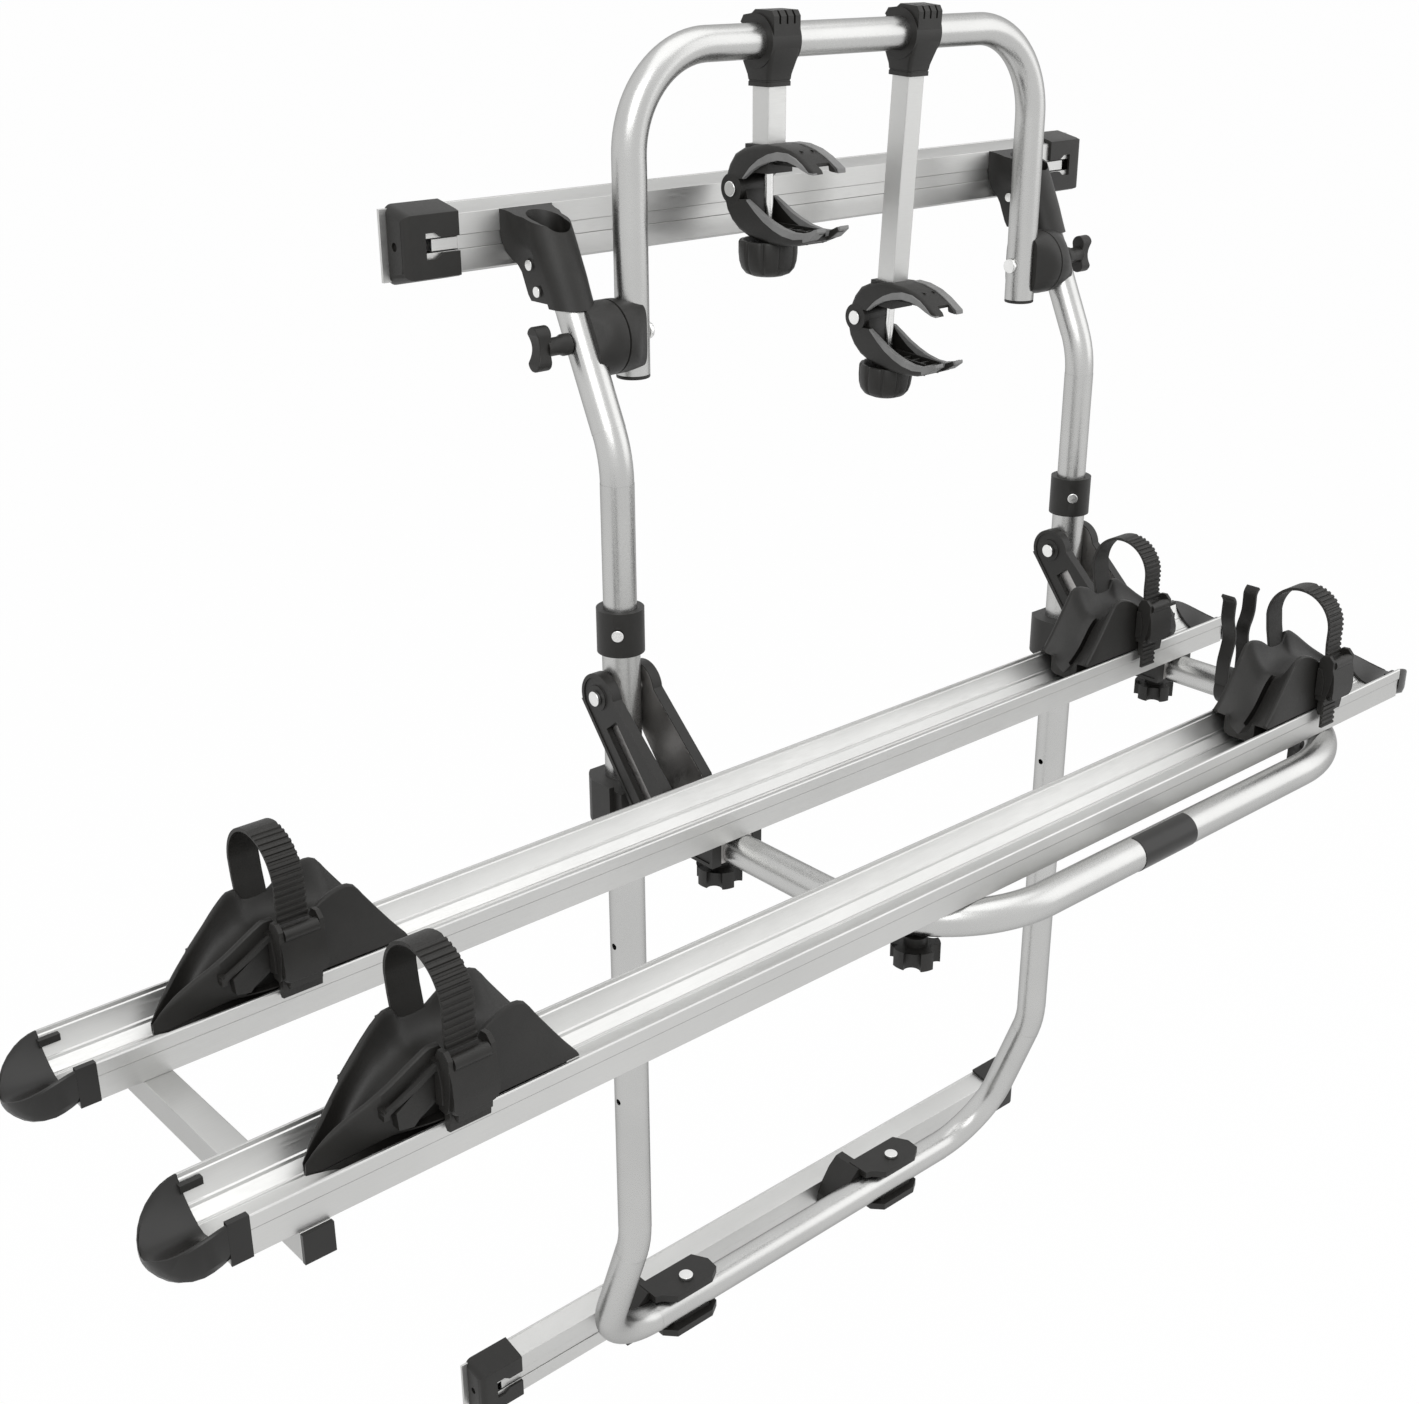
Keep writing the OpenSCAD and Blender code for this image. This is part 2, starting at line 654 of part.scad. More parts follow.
module upper_brackets() {
    rail_z = wall_rail_gap;
    flange_y = rail_front_y - seat;
    color("#1b1c1d") both_sides() difference() {
        union() {
            lean_rod(socket_low, socket_high, socket_d);
            translate([upright_x, 0, 0]) {
                span([-bracket_flange_w / 2, flange_y - bracket_flange_t, rail_z - bracket_low],
                    [bracket_flange_w / 2, flange_y, rail_z + wall_rail_face_h / 2]);
                span([-bracket_web_w / 2, lean_y(socket_low), socket_low],
                    [bracket_web_w / 2, flange_y, rail_z]);
                span([-bracket_web_w / 2, lean_y(rail_z), rail_z - over],
                    [bracket_web_w / 2, flange_y, rail_z + wall_rail_face_h / 2]);
                span([-bracket_tongue_w / 2, flange_y - over, rail_z - slot_h / 2 + seat],
                    [bracket_tongue_w / 2, flange_y + clamp_tongue_depth, rail_z + slot_h / 2 - seat]);
                span([-bracket_tongue_w / 2, rail_front_y + wall_rail_t + seat, rail_z - clamp_hook_h / 2],
                    [bracket_tongue_w / 2, flange_y + clamp_tongue_depth, rail_z + clamp_hook_h / 2]);
            }
        }
        lean_rod(socket_low - over, socket_high + over, upper_tube_d + 2 * seat);
        for (p = bracket_screw_places) translate([upright_x, p.x, p.y])
            rod_x(2 * bracket_flange_w, bracket_screw_d + 2 * seat);
    }
}

module bracket_screws() {
    color("#d8d9da") both_sides() for (p = bracket_screw_places) translate([upright_x, p.x, p.y]) {
        rod_x(bracket_web_w + 2 * seat, bracket_screw_d);
        for (side = [-1, 1]) translate([side * (bracket_web_w / 2 + seat + bracket_screw_head_h / 2), 0, 0])
            rod_x(bracket_screw_head_h, bracket_screw_head_d);
    }
}

// Swivel halves on the leaning tubes: a disc from the seam, and a saddle round the tube
module swivel_outer_halves() {
    disc_x = swivel_seam_x + swivel_seam / 2;
    color("#1b1c1d") both_sides() translate([0, swivel_y, swivel_z]) difference() {
        union() {
            translate([disc_x + swivel_half_t / 2, 0, 0]) rod_x(swivel_half_t, swivel_d);
            rotate([-lean_angle, 0, 0])
                span([disc_x + swivel_half_t - over, -upper_tube_d / 2 - saddle_wall, -saddle_h / 2],
                    [upright_x, upper_tube_d / 2 + saddle_wall, saddle_h / 2]);
        }
        rotate([-lean_angle, 0, 0]) translate([upright_x, 0, -saddle_h / 2 - over])
            cylinder(h = saddle_h + 2 * over, d = upper_tube_d + 2 * seat);
        translate([disc_x, 0, 0]) rod_x(2 * saddle_h, swivel_bolt_d + 2 * pin_fit);
    }
}

module swivel_inner_halves() {
    disc_x = swivel_seam_x - swivel_seam / 2;
    color("#1b1c1d") both_sides() translate([0, swivel_y, swivel_z]) difference() {
        union() {
            translate([disc_x - swivel_half_t / 2, 0, 0]) rod_x(swivel_half_t, swivel_d);
            span([loop_x, -loop_d / 2 - saddle_wall, -saddle_h / 2],
                [disc_x - swivel_half_t + over, loop_d / 2 + saddle_wall, saddle_h / 2]);
        }
        translate([loop_x, 0, -saddle_h]) cylinder(h = 2 * saddle_h, d = loop_d + 2 * seat);
        translate([disc_x, 0, 0]) rod_x(2 * saddle_h, swivel_bolt_d + 2 * seat);
    }
}

module swivel_bolts() {
    bolt_start = loop_x - loop_d / 2 - seat;
    bolt_end = upright_x + upper_tube_d / 2 + gap + bolt_into_knob;
    color("#d8d9da") both_sides() translate([0, swivel_y, swivel_z]) rotate([0, 90, 0]) {
        translate([0, 0, bolt_start]) cylinder(h = bolt_end - bolt_start, d = swivel_bolt_d);
        translate([0, 0, bolt_start - swivel_head_h]) cylinder(h = swivel_head_h, d = swivel_head_d);
    }
}

module swivel_knob() {
    knob_x = upright_x + upper_tube_d / 2 + gap;
    color("#1b1c1d") translate([knob_x, swivel_y, swivel_z]) difference() {
        union() {
            rotate([0, 90, 0]) cylinder(h = knob_stem_l, d = knob_stem_d);
            span([knob_stem_l - over, -knob_head_l / 2 + knob_head_w / 2, -knob_head_w / 2],
                [knob_stem_l + knob_head_t, knob_head_l / 2 - knob_head_w / 2, knob_head_w / 2]);
            for (side = [-1, 1]) translate([knob_stem_l - over, side * (knob_head_l - knob_head_w) / 2, 0])
                rotate([0, 90, 0]) cylinder(h = knob_head_t + over, d = knob_head_w);
        }
        rotate([0, 90, 0]) translate([0, 0, -over])
            cylinder(h = bolt_into_knob + over + gap, d = swivel_bolt_d + 2 * pin_fit);
    }
}

module swivel_knob_right() {
    swivel_knob();
}

module swivel_knob_left() {
    mirror([1, 0, 0]) swivel_knob();
}

// Path of the arm loop
module loop_path(d, extra) {
    both_sides() translate([-loop_x, swivel_y, 0]) {
        translate([0, 0, swivel_z - loop_drop - extra])
            cylinder(h = loop_rise + loop_drop - loop_corner_r + extra, d = d);
        translate([0, 0, bar_z - loop_corner_r]) mirror([0, 0, 1]) rotate([0, 0, -90])
            bend(loop_corner_r, d, 90);
    }
    translate([0, swivel_y, bar_z]) rod_x(2 * (loop_x - loop_corner_r), d);
}

module arm_loop_tube() {
    color("#cfd1d2") difference() {
        loop_path(loop_d, 0);
        loop_path(loop_d - 2 * loop_t, over);
        both_sides() translate([loop_x, swivel_y, swivel_z]) rod_x(loop_d + over, swivel_bolt_d + 2 * seat);
    }
}

module loop_end_caps() {
    color("#1b1c1d") both_sides() translate([loop_x, swivel_y, swivel_z - loop_drop - seat]) {
        translate([0, 0, -plug_t]) cylinder(h = plug_t, d = loop_d);
        cylinder(h = plug_in, d = loop_d - 2 * loop_t - 2 * seat);
    }
}

// Clamp on the bar, about the bar's axis
module bar_clamp() {
    ring_d = loop_d + 2 * bar_clamp_t;
    color("#1b1c1d") difference() {
        union() {
            rod_x(bar_clamp_w, ring_d);
            intersection() {
                translate([0, 0, -neck_drop / 2]) cube([bar_clamp_w, ring_d, neck_drop], center = true);
                rotate([90, 0, 0]) linear_extrude(height = ring_d, center = true)
                    polygon([[-bar_clamp_w / 2, 0], [-bar_clamp_w / 2, -neck_start], [-neck_w / 2, -neck_end],
                        [-neck_w / 2, -neck_drop], [neck_w / 2, -neck_drop], [neck_w / 2, -neck_end],
                        [bar_clamp_w / 2, -neck_start], [bar_clamp_w / 2, 0]]);
                rotate([90, 0, 90]) linear_extrude(height = bar_clamp_w, center = true)
                    polygon([[-ring_d / 2, 0], [-ring_d / 2, -neck_start], [-neck_w / 2, -neck_end],
                        [-neck_w / 2, -neck_drop], [neck_w / 2, -neck_drop], [neck_w / 2, -neck_end],
                        [ring_d / 2, -neck_start], [ring_d / 2, 0]]);
            }
            span([-lip_w / 2, -ring_d / 2 + over, lip_top - lip_h], [lip_w / 2, 0, lip_top]);
        }
        rod_x(bar_clamp_w + over, loop_d + 2 * pin_fit);
        translate([0, 0, -neck_drop - over]) linear_extrude(height = neck_drop - ring_d / 2 + over)
            square(arm_tube_w + 2 * seat, center = true);
    }
}

// Square arm tube, about the bar's axis, for a jaw pivot at the given drop
module arm_tube(drop) {
    top = -loop_d / 2 - bar_clamp_t - seat;
    len = drop - tube_into_jaw + top;
    color("#cfd1d2") translate([0, 0, top - len]) linear_extrude(height = len) difference() {
        square(arm_tube_w, center = true);
        square(arm_tube_w - 2 * arm_tube_t, center = true);
    }
}

function reach_points(shares, rise) = [for (p = shares) [p.x * jaw_reach, p.y * jaw_reach + rise]];

// Jaws are drawn about their pivot
module jaw_top() {
    body = concat(reach_points(jaw_top_outer_shares, 0), reach_points(jaw_top_inner_shares, pad_t + seat));
    color("#1b1c1d") difference() {
        union() {
            difference() {
                union() {
                    along_x(jaw_w) polygon(body);
                    rod_x(jaw_w, jaw_boss_d);
                }
                translate([0, jaw_skin, -jaw_skin]) along_x(jaw_w - 2 * jaw_t) polygon(body);
                rod_x(jaw_w - 2 * jaw_t, jaw_boss_d + 2 * gap);
                span([-jaw_notch_w / 2, -jaw_reach - over, 0],
                    [jaw_notch_w / 2, -jaw_reach * jaw_notch_share, jaw_reach]);
            }
            translate([0, -jaw_set_back, 0])
                span([-jaw_socket_w / 2, -jaw_socket_w / 2, jaw_socket_low],
                    [jaw_socket_w / 2, jaw_socket_w / 2, jaw_socket_high]);
        }
        translate([0, -jaw_set_back, tube_into_jaw - seat]) linear_extrude(height = jaw_reach)
            square(arm_tube_w + 2 * seat, center = true);
        translate([0, -jaw_set_back, 0]) cylinder(h = jaw_reach, d = spindle_d + 2 * seat);
        rod_x(jaw_w + over, jaw_bolt_d + 2 * seat);
    }
}

module top_pad() {
    rise = reach_points(jaw_top_inner_shares, pad_t);
    fall = reach_points(jaw_top_inner_shares, 0);
    outline = concat(rise, [for (i = [len(fall) - 1 : -1 : 0]) fall[i]]);
    color("#77797a") for (side = [-1, 1]) translate([side * (jaw_w - jaw_t) / 2, 0, 0])
        along_x(jaw_t) polygon(outline);
}

// Pivot bolt and threaded spindle
module jaw_pins() {
    color("#b9bbbc") {
        rod_x(jaw_w + 2 * seat, jaw_bolt_d);
        for (side = [-1, 1]) translate([side * (jaw_w / 2 + seat + jaw_head_h / 2), 0, 0])
            rod_x(jaw_head_h, jaw_head_d);
        translate([0, -jaw_set_back, -spindle_low])
            cylinder(h = spindle_low + tube_into_jaw - seat, d = spindle_d);
    }
}

module jaw_bottom() {
    body = concat(reach_points(jaw_low_outer_shares, 0), reach_points(jaw_low_inner_shares, -pad_t - seat));
    boss_w = jaw_w - 2 * jaw_t - 2 * gap;
    color("#1b1c1d") difference() {
        union() {
            difference() {
                along_x(jaw_w) polygon(body);
                translate([0, 0, jaw_skin]) along_x(jaw_w - 2 * jaw_t) polygon(body);
                rod_x(jaw_w + over, jaw_boss_d + 2 * gap);
            }
            difference() {
                union() {
                    rod_x(boss_w, jaw_boss_d);
                    along_x(boss_w)
                        polygon(concat(reach_points(jaw_low_outer_shares, jaw_skin / 2), [[0, 0]]));
                }
                translate([0, 0, jaw_skin]) along_x(boss_w - 2 * jaw_skin)
                    polygon(concat(reach_points(jaw_low_outer_shares, 0), [[0, -jaw_boss_d / 2]]));
                span([-jaw_w, -2 * jaw_reach, -jaw_reach], [jaw_w, -jaw_boss_d / 2, jaw_reach]);
            }
        }
        rod_x(jaw_w + over, jaw_bolt_d + 2 * pin_fit);
        span([-spindle_slot_w / 2, -jaw_set_back - spindle_slot_out, -jaw_reach],
            [spindle_slot_w / 2, -jaw_set_back + spindle_slot_in, jaw_reach]);
        span([-jaw_notch_w / 2, -jaw_reach * 2, -jaw_reach],
            [jaw_notch_w / 2, -jaw_reach * jaw_notch_share, 0]);
    }
}

module bottom_pad() {
    rise = reach_points(jaw_low_inner_shares, 0);
    fall = reach_points(jaw_low_inner_shares, -pad_t);
    outline = concat(rise, [for (i = [len(fall) - 1 : -1 : 0]) fall[i]]);
    color("#77797a") for (side = [-1, 1]) translate([side * (jaw_w - jaw_t) / 2, 0, 0])
        along_x(jaw_t) polygon(outline);
}

// Bowl-shaped knob round the lower end of the spindle
module jaw_knob() {
    color("#1b1c1d") translate([0, -jaw_set_back, -knob_drop - jaw_knob_h]) difference() {
        cylinder(h = jaw_knob_h, d = jaw_knob_d);
        translate([0, 0, knob_floor]) cylinder(h = jaw_knob_h, d = knob_cavity_d);
        for (i = [0 : knob_lobes - 1]) rotate([0, 0, i * 360 / knob_lobes])
            translate([jaw_knob_d / 2, 0, -over]) cylinder(h = jaw_knob_h + 2 * over, d = knob_groove_d);
    }
}

// Places the children at the short arm: the bar's axis, or its jaw pivot
module short_arm() {
    translate([short_arm_x, swivel_y, bar_z]) children();
}

module short_pivot() {
    short_arm() translate([0, jaw_set_back, -short_arm_drop]) children();
}

module long_arm() {
    translate([long_arm_x, swivel_y, bar_z]) rotate([long_arm_tilt, 0, 0]) children();
}

module long_pivot() {
    long_arm() translate([0, jaw_set_back, -long_arm_drop]) children();
}

module short_bar_clamp() {
    short_arm() bar_clamp();
}

module short_arm_tube() {
    short_arm() arm_tube(short_arm_drop);
}

module short_jaw_top() {
    short_pivot() jaw_top();
}

module short_top_pad() {
    short_pivot() top_pad();
}

module short_jaw_pins() {
    short_pivot() jaw_pins();
}

module short_jaw_bottom() {
    short_pivot() jaw_bottom();
}

module short_bottom_pad() {
    short_pivot() bottom_pad();
}

module short_jaw_knob() {
    short_pivot() jaw_knob();
}

module long_bar_clamp() {
    long_arm() bar_clamp();
}

module long_arm_tube() {
    long_arm() arm_tube(long_arm_drop);
}

module long_jaw_top() {
    long_pivot() jaw_top();
}

module long_top_pad() {
    long_pivot() top_pad();
}

module long_jaw_pins() {
    long_pivot() jaw_pins();
}

module long_jaw_bottom() {
    long_pivot() jaw_bottom();
}

module long_bottom_pad() {
    long_pivot() bottom_pad();
}

module long_jaw_knob() {
    long_pivot() jaw_knob();
}

// Path of the platform tube: two arms, two corners and the front run
module platform_path(d, extra) {
    arm_len = tube_rear_y - corner_y;
    both_sides() translate([-upright_x, tube_rear_y, tube_z]) rotate([-90, 0, 0]) {
        translate([0, 0, -arm_len]) cylinder(h = arm_len + extra, d = d);
        translate([0, 0, -arm_len]) rotate([0, 0, -90]) bend(platform_corner_r, d, 90);
    }
    translate([0, front_run_y, tube_z]) rod_x(2 * corner_x, d);
}

// Places of the wing knobs on the right: front and rear
module stud_holes(d) {
    both_sides() for (p = [[front_knob_x, front_knob_y], [upright_x, rear_rail_y]])
        translate([p.x, p.y, tube_z - platform_tube_d]) cylinder(h = 2 * platform_tube_d, d = d);
}

module platform_tube() {
    color("#cfd1d2") difference() {
        platform_path(platform_tube_d, 0);
        platform_path(platform_tube_d - 2 * platform_tube_t, over);
        stud_holes(stud_d + 2 * pin_fit);
    }
}

function brace_points(shares) = [for (p = shares) [p.x * brace_reach, p.y * brace_down]];

module brace_outline() {
    rail_back = -rear_rail_gap + brace_rail_gap;
    rail_under = platform_z - wheel_rail_h - brace_rail_gap - fold_z;
    collar_low = collar_z - gap - fold_z;
    collar_out = -sqrt(pow(collar_d / 2, 2) - pow(brace_in, 2)) - brace_rail_gap;
    shoulder = [rail_back + brace_step, rail_under * brace_shoulder_share];
    slope = (shoulder.y - collar_out) / (shoulder.x + collar_low);
    start_x = -brace_top_d / 3;
    start_z = collar_out + (start_x + collar_low) * slope;
    polygon(concat([[start_x, start_z], shoulder, [rail_back, rail_under]], brace_points(brace_shares)));
    circle(d = brace_top_d);
}

module brace_plates() {
    pad_h = brace_down * spacer_h_share;
    pad_rear = brace_shares[2].x * brace_reach;
    color("#b9bbbc") both_sides() translate([upright_x, frame_y, fold_z]) difference() {
        union() {
            both_sides() translate([brace_in + brace_t / 2, 0, 0]) along_x(brace_t) brace_outline();
            both_sides() span([platform_tube_d / 4, -brace_reach, -brace_down - pad_h / 2],
                [brace_in + over, pad_rear, -brace_down + pad_h / 2]);
        }
        translate([0, 0, -brace_down]) rotate([90, 0, 0])
            cylinder(h = 2 * brace_reach, d = platform_tube_d + 2 * seat, center = true);
        rod_x(2 * brace_reach, fold_bolt_d + 2 * pin_fit);
    }
}

module brace_covers() {
    cover_x = brace_in + brace_t + seat;
    color("#1b1c1d") both_sides() translate([upright_x, frame_y, fold_z]) both_sides() difference() {
        union() {
            translate([cover_x + (brace_cover_t - seat) / 2, 0, 0])
                along_x(brace_cover_t - seat) brace_outline();
            translate([cover_x + (brace_cover_t - seat + brace_boss_h) / 2, 0, 0])
                rod_x(brace_cover_t - seat + brace_boss_h, brace_boss_d);
        }
        translate([cover_x, 0, 0]) along_x(4 * brace_cover_t) polygon(brace_points(brace_window_shares));
        rod_x(2 * brace_reach, fold_bolt_d + 2 * pin_fit);
    }
}

// Profile of a wheel rail, its top at zero: side walls, rounded trough and two voids
module wheel_rail_profile() {
    trough = [for (p = trough_shares) [p.x * wheel_rail_w, p.y * wheel_rail_h]];
    void = [for (p = rail_void_shares) [p.x * wheel_rail_w, p.y * wheel_rail_h]];
    difference() {
        translate([-wheel_rail_w / 2, -wheel_rail_h]) square([wheel_rail_w, wheel_rail_h]);
        for (side = [0, 1]) mirror([side, 0]) {
            polygon(concat(trough, [[-over, trough[4].y], [-over, over], [trough[0].x, over]]));
            polygon(void);
        }
    }
}

module wheel_rail(y) {
    color("#c9cbcc") difference() {
        translate([wheel_rail_x, y, platform_z]) along_x(wheel_rail_len) wheel_rail_profile();
        stud_holes(stud_d + 2 * pin_fit);
    }
}

module front_wheel_rail() {
    wheel_rail(front_rail_y);
}

module rear_wheel_rail() {
    wheel_rail(rear_rail_y);
}

// Bow-shaped cap beyond the right end of a wheel rail, from the rail's end
module rail_bow() {
    half = wheel_rail_w / 2;
    difference() {
        intersection() {
            span([seat, -half, -wheel_rail_h], [rail_cap_len, half, 0]);
            union() {
                span([0, -half, -wheel_rail_h], [rail_cap_len - bow_r, half, 0]);
                span([0, -half + bow_r, -wheel_rail_h], [rail_cap_len, half - bow_r, 0]);
                for (side = [-1, 1]) translate([rail_cap_len - bow_r, side * (half - bow_r), -wheel_rail_h])
                    cylinder(h = wheel_rail_h, r = bow_r);
            }
            translate([0, 0, bow_side_r - wheel_rail_h]) rotate([90, 0, 0])
                cylinder(h = wheel_rail_w, r = bow_side_r, center = true);
        }
        scale(bow_scoop) translate([0, 0, over]) along_x(2 * rail_cap_len * bow_scoop_share)
            polygon([for (s = [-1, 1], i = [0 : 4]) s < 0
                ? [-trough_shares[i].x * wheel_rail_w, trough_shares[i].y * wheel_rail_h]
                : [trough_shares[4 - i].x * wheel_rail_w, trough_shares[4 - i].y * wheel_rail_h]]);
    }
}

module cross_bar() {
    color("#c9cbcc") translate([cross_bar_x, cross_bar_end_y, cross_bar_z]) rotate([-90, 0, 0])
        linear_extrude(height = cross_bar_len) difference() {
            square(cross_bar_w, center = true);
            square(cross_bar_w - 2 * cross_bar_t, center = true);
        }
}

// Caps of the wheel rails, plugs of the cross bar and of the platform tube
module platform_end_caps() {
    plug_w = cross_bar_w - 2 * cross_bar_t - 2 * seat;
    color("#1b1c1d") {
        for (y = [front_rail_y, rear_rail_y]) translate([wheel_rail_x, y, platform_z])
            both_sides() translate([wheel_rail_len / 2, 0, 0]) rail_bow();
        translate([cross_bar_x, cross_bar_end_y + cross_bar_len / 2, cross_bar_z]) for (side = [0, 1])
            mirror([0, side, 0]) translate([0, -cross_bar_len / 2 - seat, 0]) {
                span([-cross_bar_w / 2, -plug_t, -cross_bar_w / 2], [cross_bar_w / 2, 0, cross_bar_w / 2]);
                span([-plug_w / 2, -over, -plug_w / 2], [plug_w / 2, plug_in, plug_w / 2]);
            }
        both_sides() translate([upright_x, tube_rear_y + seat, tube_z]) rotate([-90, 0, 0]) {
            cylinder(h = tube_plug_t - seat, d = platform_tube_d);
            translate([0, 0, -plug_in])
                cylinder(h = plug_in, d = platform_tube_d - 2 * platform_tube_t - 2 * seat);
        }
    }
}

// Clip on the right arm that holds the upper tube when the platform is folded
module storage_clip() {
    ring_d = platform_tube_d + 2 * clip_ring_t;
    prong_in = upper_tube_d / 2 + gap;
    color("#1b1c1d") translate([upright_x, clip_y, tube_z]) difference() {
        union() {
            rotate([90, 0, 0]) cylinder(h = clip_w, d = ring_d, center = true);
            for (side = [0, 1]) mirror([side, 0, 0])
                span([prong_in, -clip_w / 2, 0],
                    [prong_in + clip_prong_t, clip_w / 2, platform_tube_d / 2 + clip_h]);
        }
        rotate([90, 0, 0]) cylinder(h = clip_w + over, d = platform_tube_d + 2 * seat, center = true);
    }
}

// Knob under the tube with a stud up into the rail
module wing_knob(x, y) {
    top = tube_z - platform_tube_d / 2 - gap;
    color("#1b1c1d") translate([x, y, 0]) difference() {
        union() {
            translate([0, 0, top - wing_neck_h]) cylinder(h = wing_neck_h, d = wing_neck_d);
            translate([0, 0, top - wing_neck_h])
                cylinder(h = platform_tube_d + gap + wing_neck_h + wheel_rail_t / 2, d = stud_d);
            translate([0, 0, top - wing_neck_h - wing_h]) cylinder(h = wing_h, d = wing_d);
        }
        for (i = [0 : wing_lobes - 1]) rotate([0, 0, i * 360 / wing_lobes])
            translate([wing_d / 2, 0, top - wing_neck_h - wing_h - over])
                cylinder(h = wing_h + over, d = wing_lobe_d);
    }
}

module wing_knob_front_left() {
    wing_knob(-front_knob_x, front_knob_y);
}

module wing_knob_rear_left() {
    wing_knob(-upright_x, rear_rail_y);
}

module wing_knob_front_right() {
    wing_knob(front_knob_x, front_knob_y);
}

module wing_knob_rear_right() {
    wing_knob(upright_x, rear_rail_y);
}

// Wheel holder, from its inner end to the right, on the middle of the rail's top
module wheel_cup() {
    side = [for (p = cup_side_shares) [p.x * cup_len, p.y * cup_h]];
    plan = [for (p = cup_plan_shares) [p.x * cup_len, p.y * cup_half_w]];
    hollow = [for (p = cup_plan_shares) [p.x * cup_len - cup_t, p.y * cup_half_w - cup_t]];
    full = concat(plan, [for (i = [len(plan) - 1 : -1 : 0]) [plan[i].x, -plan[i].y]]);
    valley = concat(hollow, [for (i = [len(hollow) - 1 : -1 : 0]) [hollow[i].x, -hollow[i].y]]);
    anchor_low = strap_anchor_z - cup_t;
    color("#1b1c1d") difference() {
        union() {
            intersection() {
                rotate([90, 0, 0]) linear_extrude(height = wheel_rail_w, center = true) polygon(side);
                translate([0, 0, cup_lift]) linear_extrude(height = cup_h) polygon(full);
            }
            span([keel_in, -keel_w / 2, -keel_h], [cup_len - 3 * keel_in, keel_w / 2, cup_lift + over]);
            for (s = [0, 1]) mirror([0, s, 0])
                span([strap_u - strap_w / 2, cup_half_w - over, anchor_low],
                    [strap_u + strap_w / 2, strap_r - strap_t - seat, anchor_low + anchor_h]);
        }
        translate([0, 0, cup_floor]) linear_extrude(height = cup_h) polygon(valley);
    }
}

// Strap with its buckle housing, at the same place
module cup_strap() {
    loop_z = strap_top - strap_r;
    color("#1b1c1d") {
        translate([strap_u, 0, loop_z]) difference() {
            intersection() {
                rod_x(strap_w, 2 * strap_r);
                span([-strap_w, -strap_r, 0], [strap_w, strap_r, strap_r]);
            }
            rod_x(strap_w + over, 2 * (strap_r - strap_t));
        }
        span([strap_u - strap_w / 2, strap_r - strap_t, strap_anchor_z],
            [strap_u + strap_w / 2, strap_r, loop_z]);
        span([strap_u - strap_w / 2, -strap_r, buckle_low],
            [strap_u + strap_w / 2, -strap_r + strap_t, loop_z]);
        span([strap_u - buckle_len / 2, -strap_r - buckle_t, buckle_low],
            [strap_u + buckle_len / 2, -strap_r, buckle_high]);
    }
}

// Ratchet lever on the front of the buckle
module buckle_lever() {
    lever_y = -strap_r - buckle_t - gap - lever_t / 2;
    color("#1b1c1d") translate([strap_u, lever_y, 0]) {
        translate([0, 0, lever_pivot_z]) rod_x(buckle_w, lever_t);
        span([-buckle_w / 2, -lever_t / 2, lever_low], [buckle_w / 2, lever_t / 2, lever_pivot_z]);
    }
}

// Places a wheel holder from the ends of its rail
module right_end(y) {
    translate([rail_end_x - right_cup_in - cup_len, y, platform_z]) children();
}

module left_end(y) {
    translate([rail_end_x - wheel_rail_len + left_cup_in + cup_len, y, platform_z])
        mirror([1, 0, 0]) children();
}

module wheel_cup_front_left() {
    left_end(front_rail_y) wheel_cup();
}

module wheel_cup_rear_left() {
    left_end(rear_rail_y) wheel_cup();
}

module wheel_cup_front_right() {
    right_end(front_rail_y) wheel_cup();
}

module wheel_cup_rear_right() {
    right_end(rear_rail_y) wheel_cup();
}

module cup_strap_front_left() {
    left_end(front_rail_y) cup_strap();
}

module cup_strap_rear_left() {
    left_end(rear_rail_y) cup_strap();
}

module cup_strap_front_right() {
    right_end(front_rail_y) cup_strap();
}

module cup_strap_rear_right() {
    right_end(rear_rail_y) cup_strap();
}

module buckle_lever_front_left() {
    left_end(front_rail_y) buckle_lever();
}

module buckle_lever_rear_left() {
    left_end(rear_rail_y) buckle_lever();
}

module buckle_lever_front_right() {
    right_end(front_rail_y) buckle_lever();
}

module buckle_lever_rear_right() {
    right_end(rear_rail_y) buckle_lever();
}

lower_wall_rail();
lower_rail_caps();
clamp_top_jaws();
clamp_bottom_jaws();
lower_frame();
tube_collars();
stop_collars();
frame_bolts();
upper_wall_rail();
upper_rail_caps();
upper_tubes();
upper_brackets();
bracket_screws();
swivel_outer_halves();
swivel_knob_left();
swivel_knob_right();
arm_loop_tube();
loop_end_caps();
swivel_inner_halves();
swivel_bolts();
short_bar_clamp();
short_arm_tube();
short_jaw_top();
short_top_pad();
short_jaw_pins();
short_jaw_bottom();
short_bottom_pad();
short_jaw_knob();
long_bar_clamp();
long_arm_tube();
long_jaw_top();
long_top_pad();
long_jaw_pins();
long_jaw_bottom();
long_bottom_pad();
long_jaw_knob();
platform_tube();
brace_plates();
brace_covers();
front_wheel_rail();
rear_wheel_rail();
platform_end_caps();
cross_bar();
storage_clip();
wing_knob_front_left();
wing_knob_rear_left();
wing_knob_front_right();
wing_knob_rear_right();
wheel_cup_front_left();
wheel_cup_rear_left();
wheel_cup_front_right();
wheel_cup_rear_right();
cup_strap_front_left();
cup_strap_rear_left();
cup_strap_front_right();
cup_strap_rear_right();
buckle_lever_front_left();
buckle_lever_rear_left();
buckle_lever_front_right();
buckle_lever_rear_right();
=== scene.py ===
import math

import bmesh
import bpy
from mathutils import Matrix, Vector


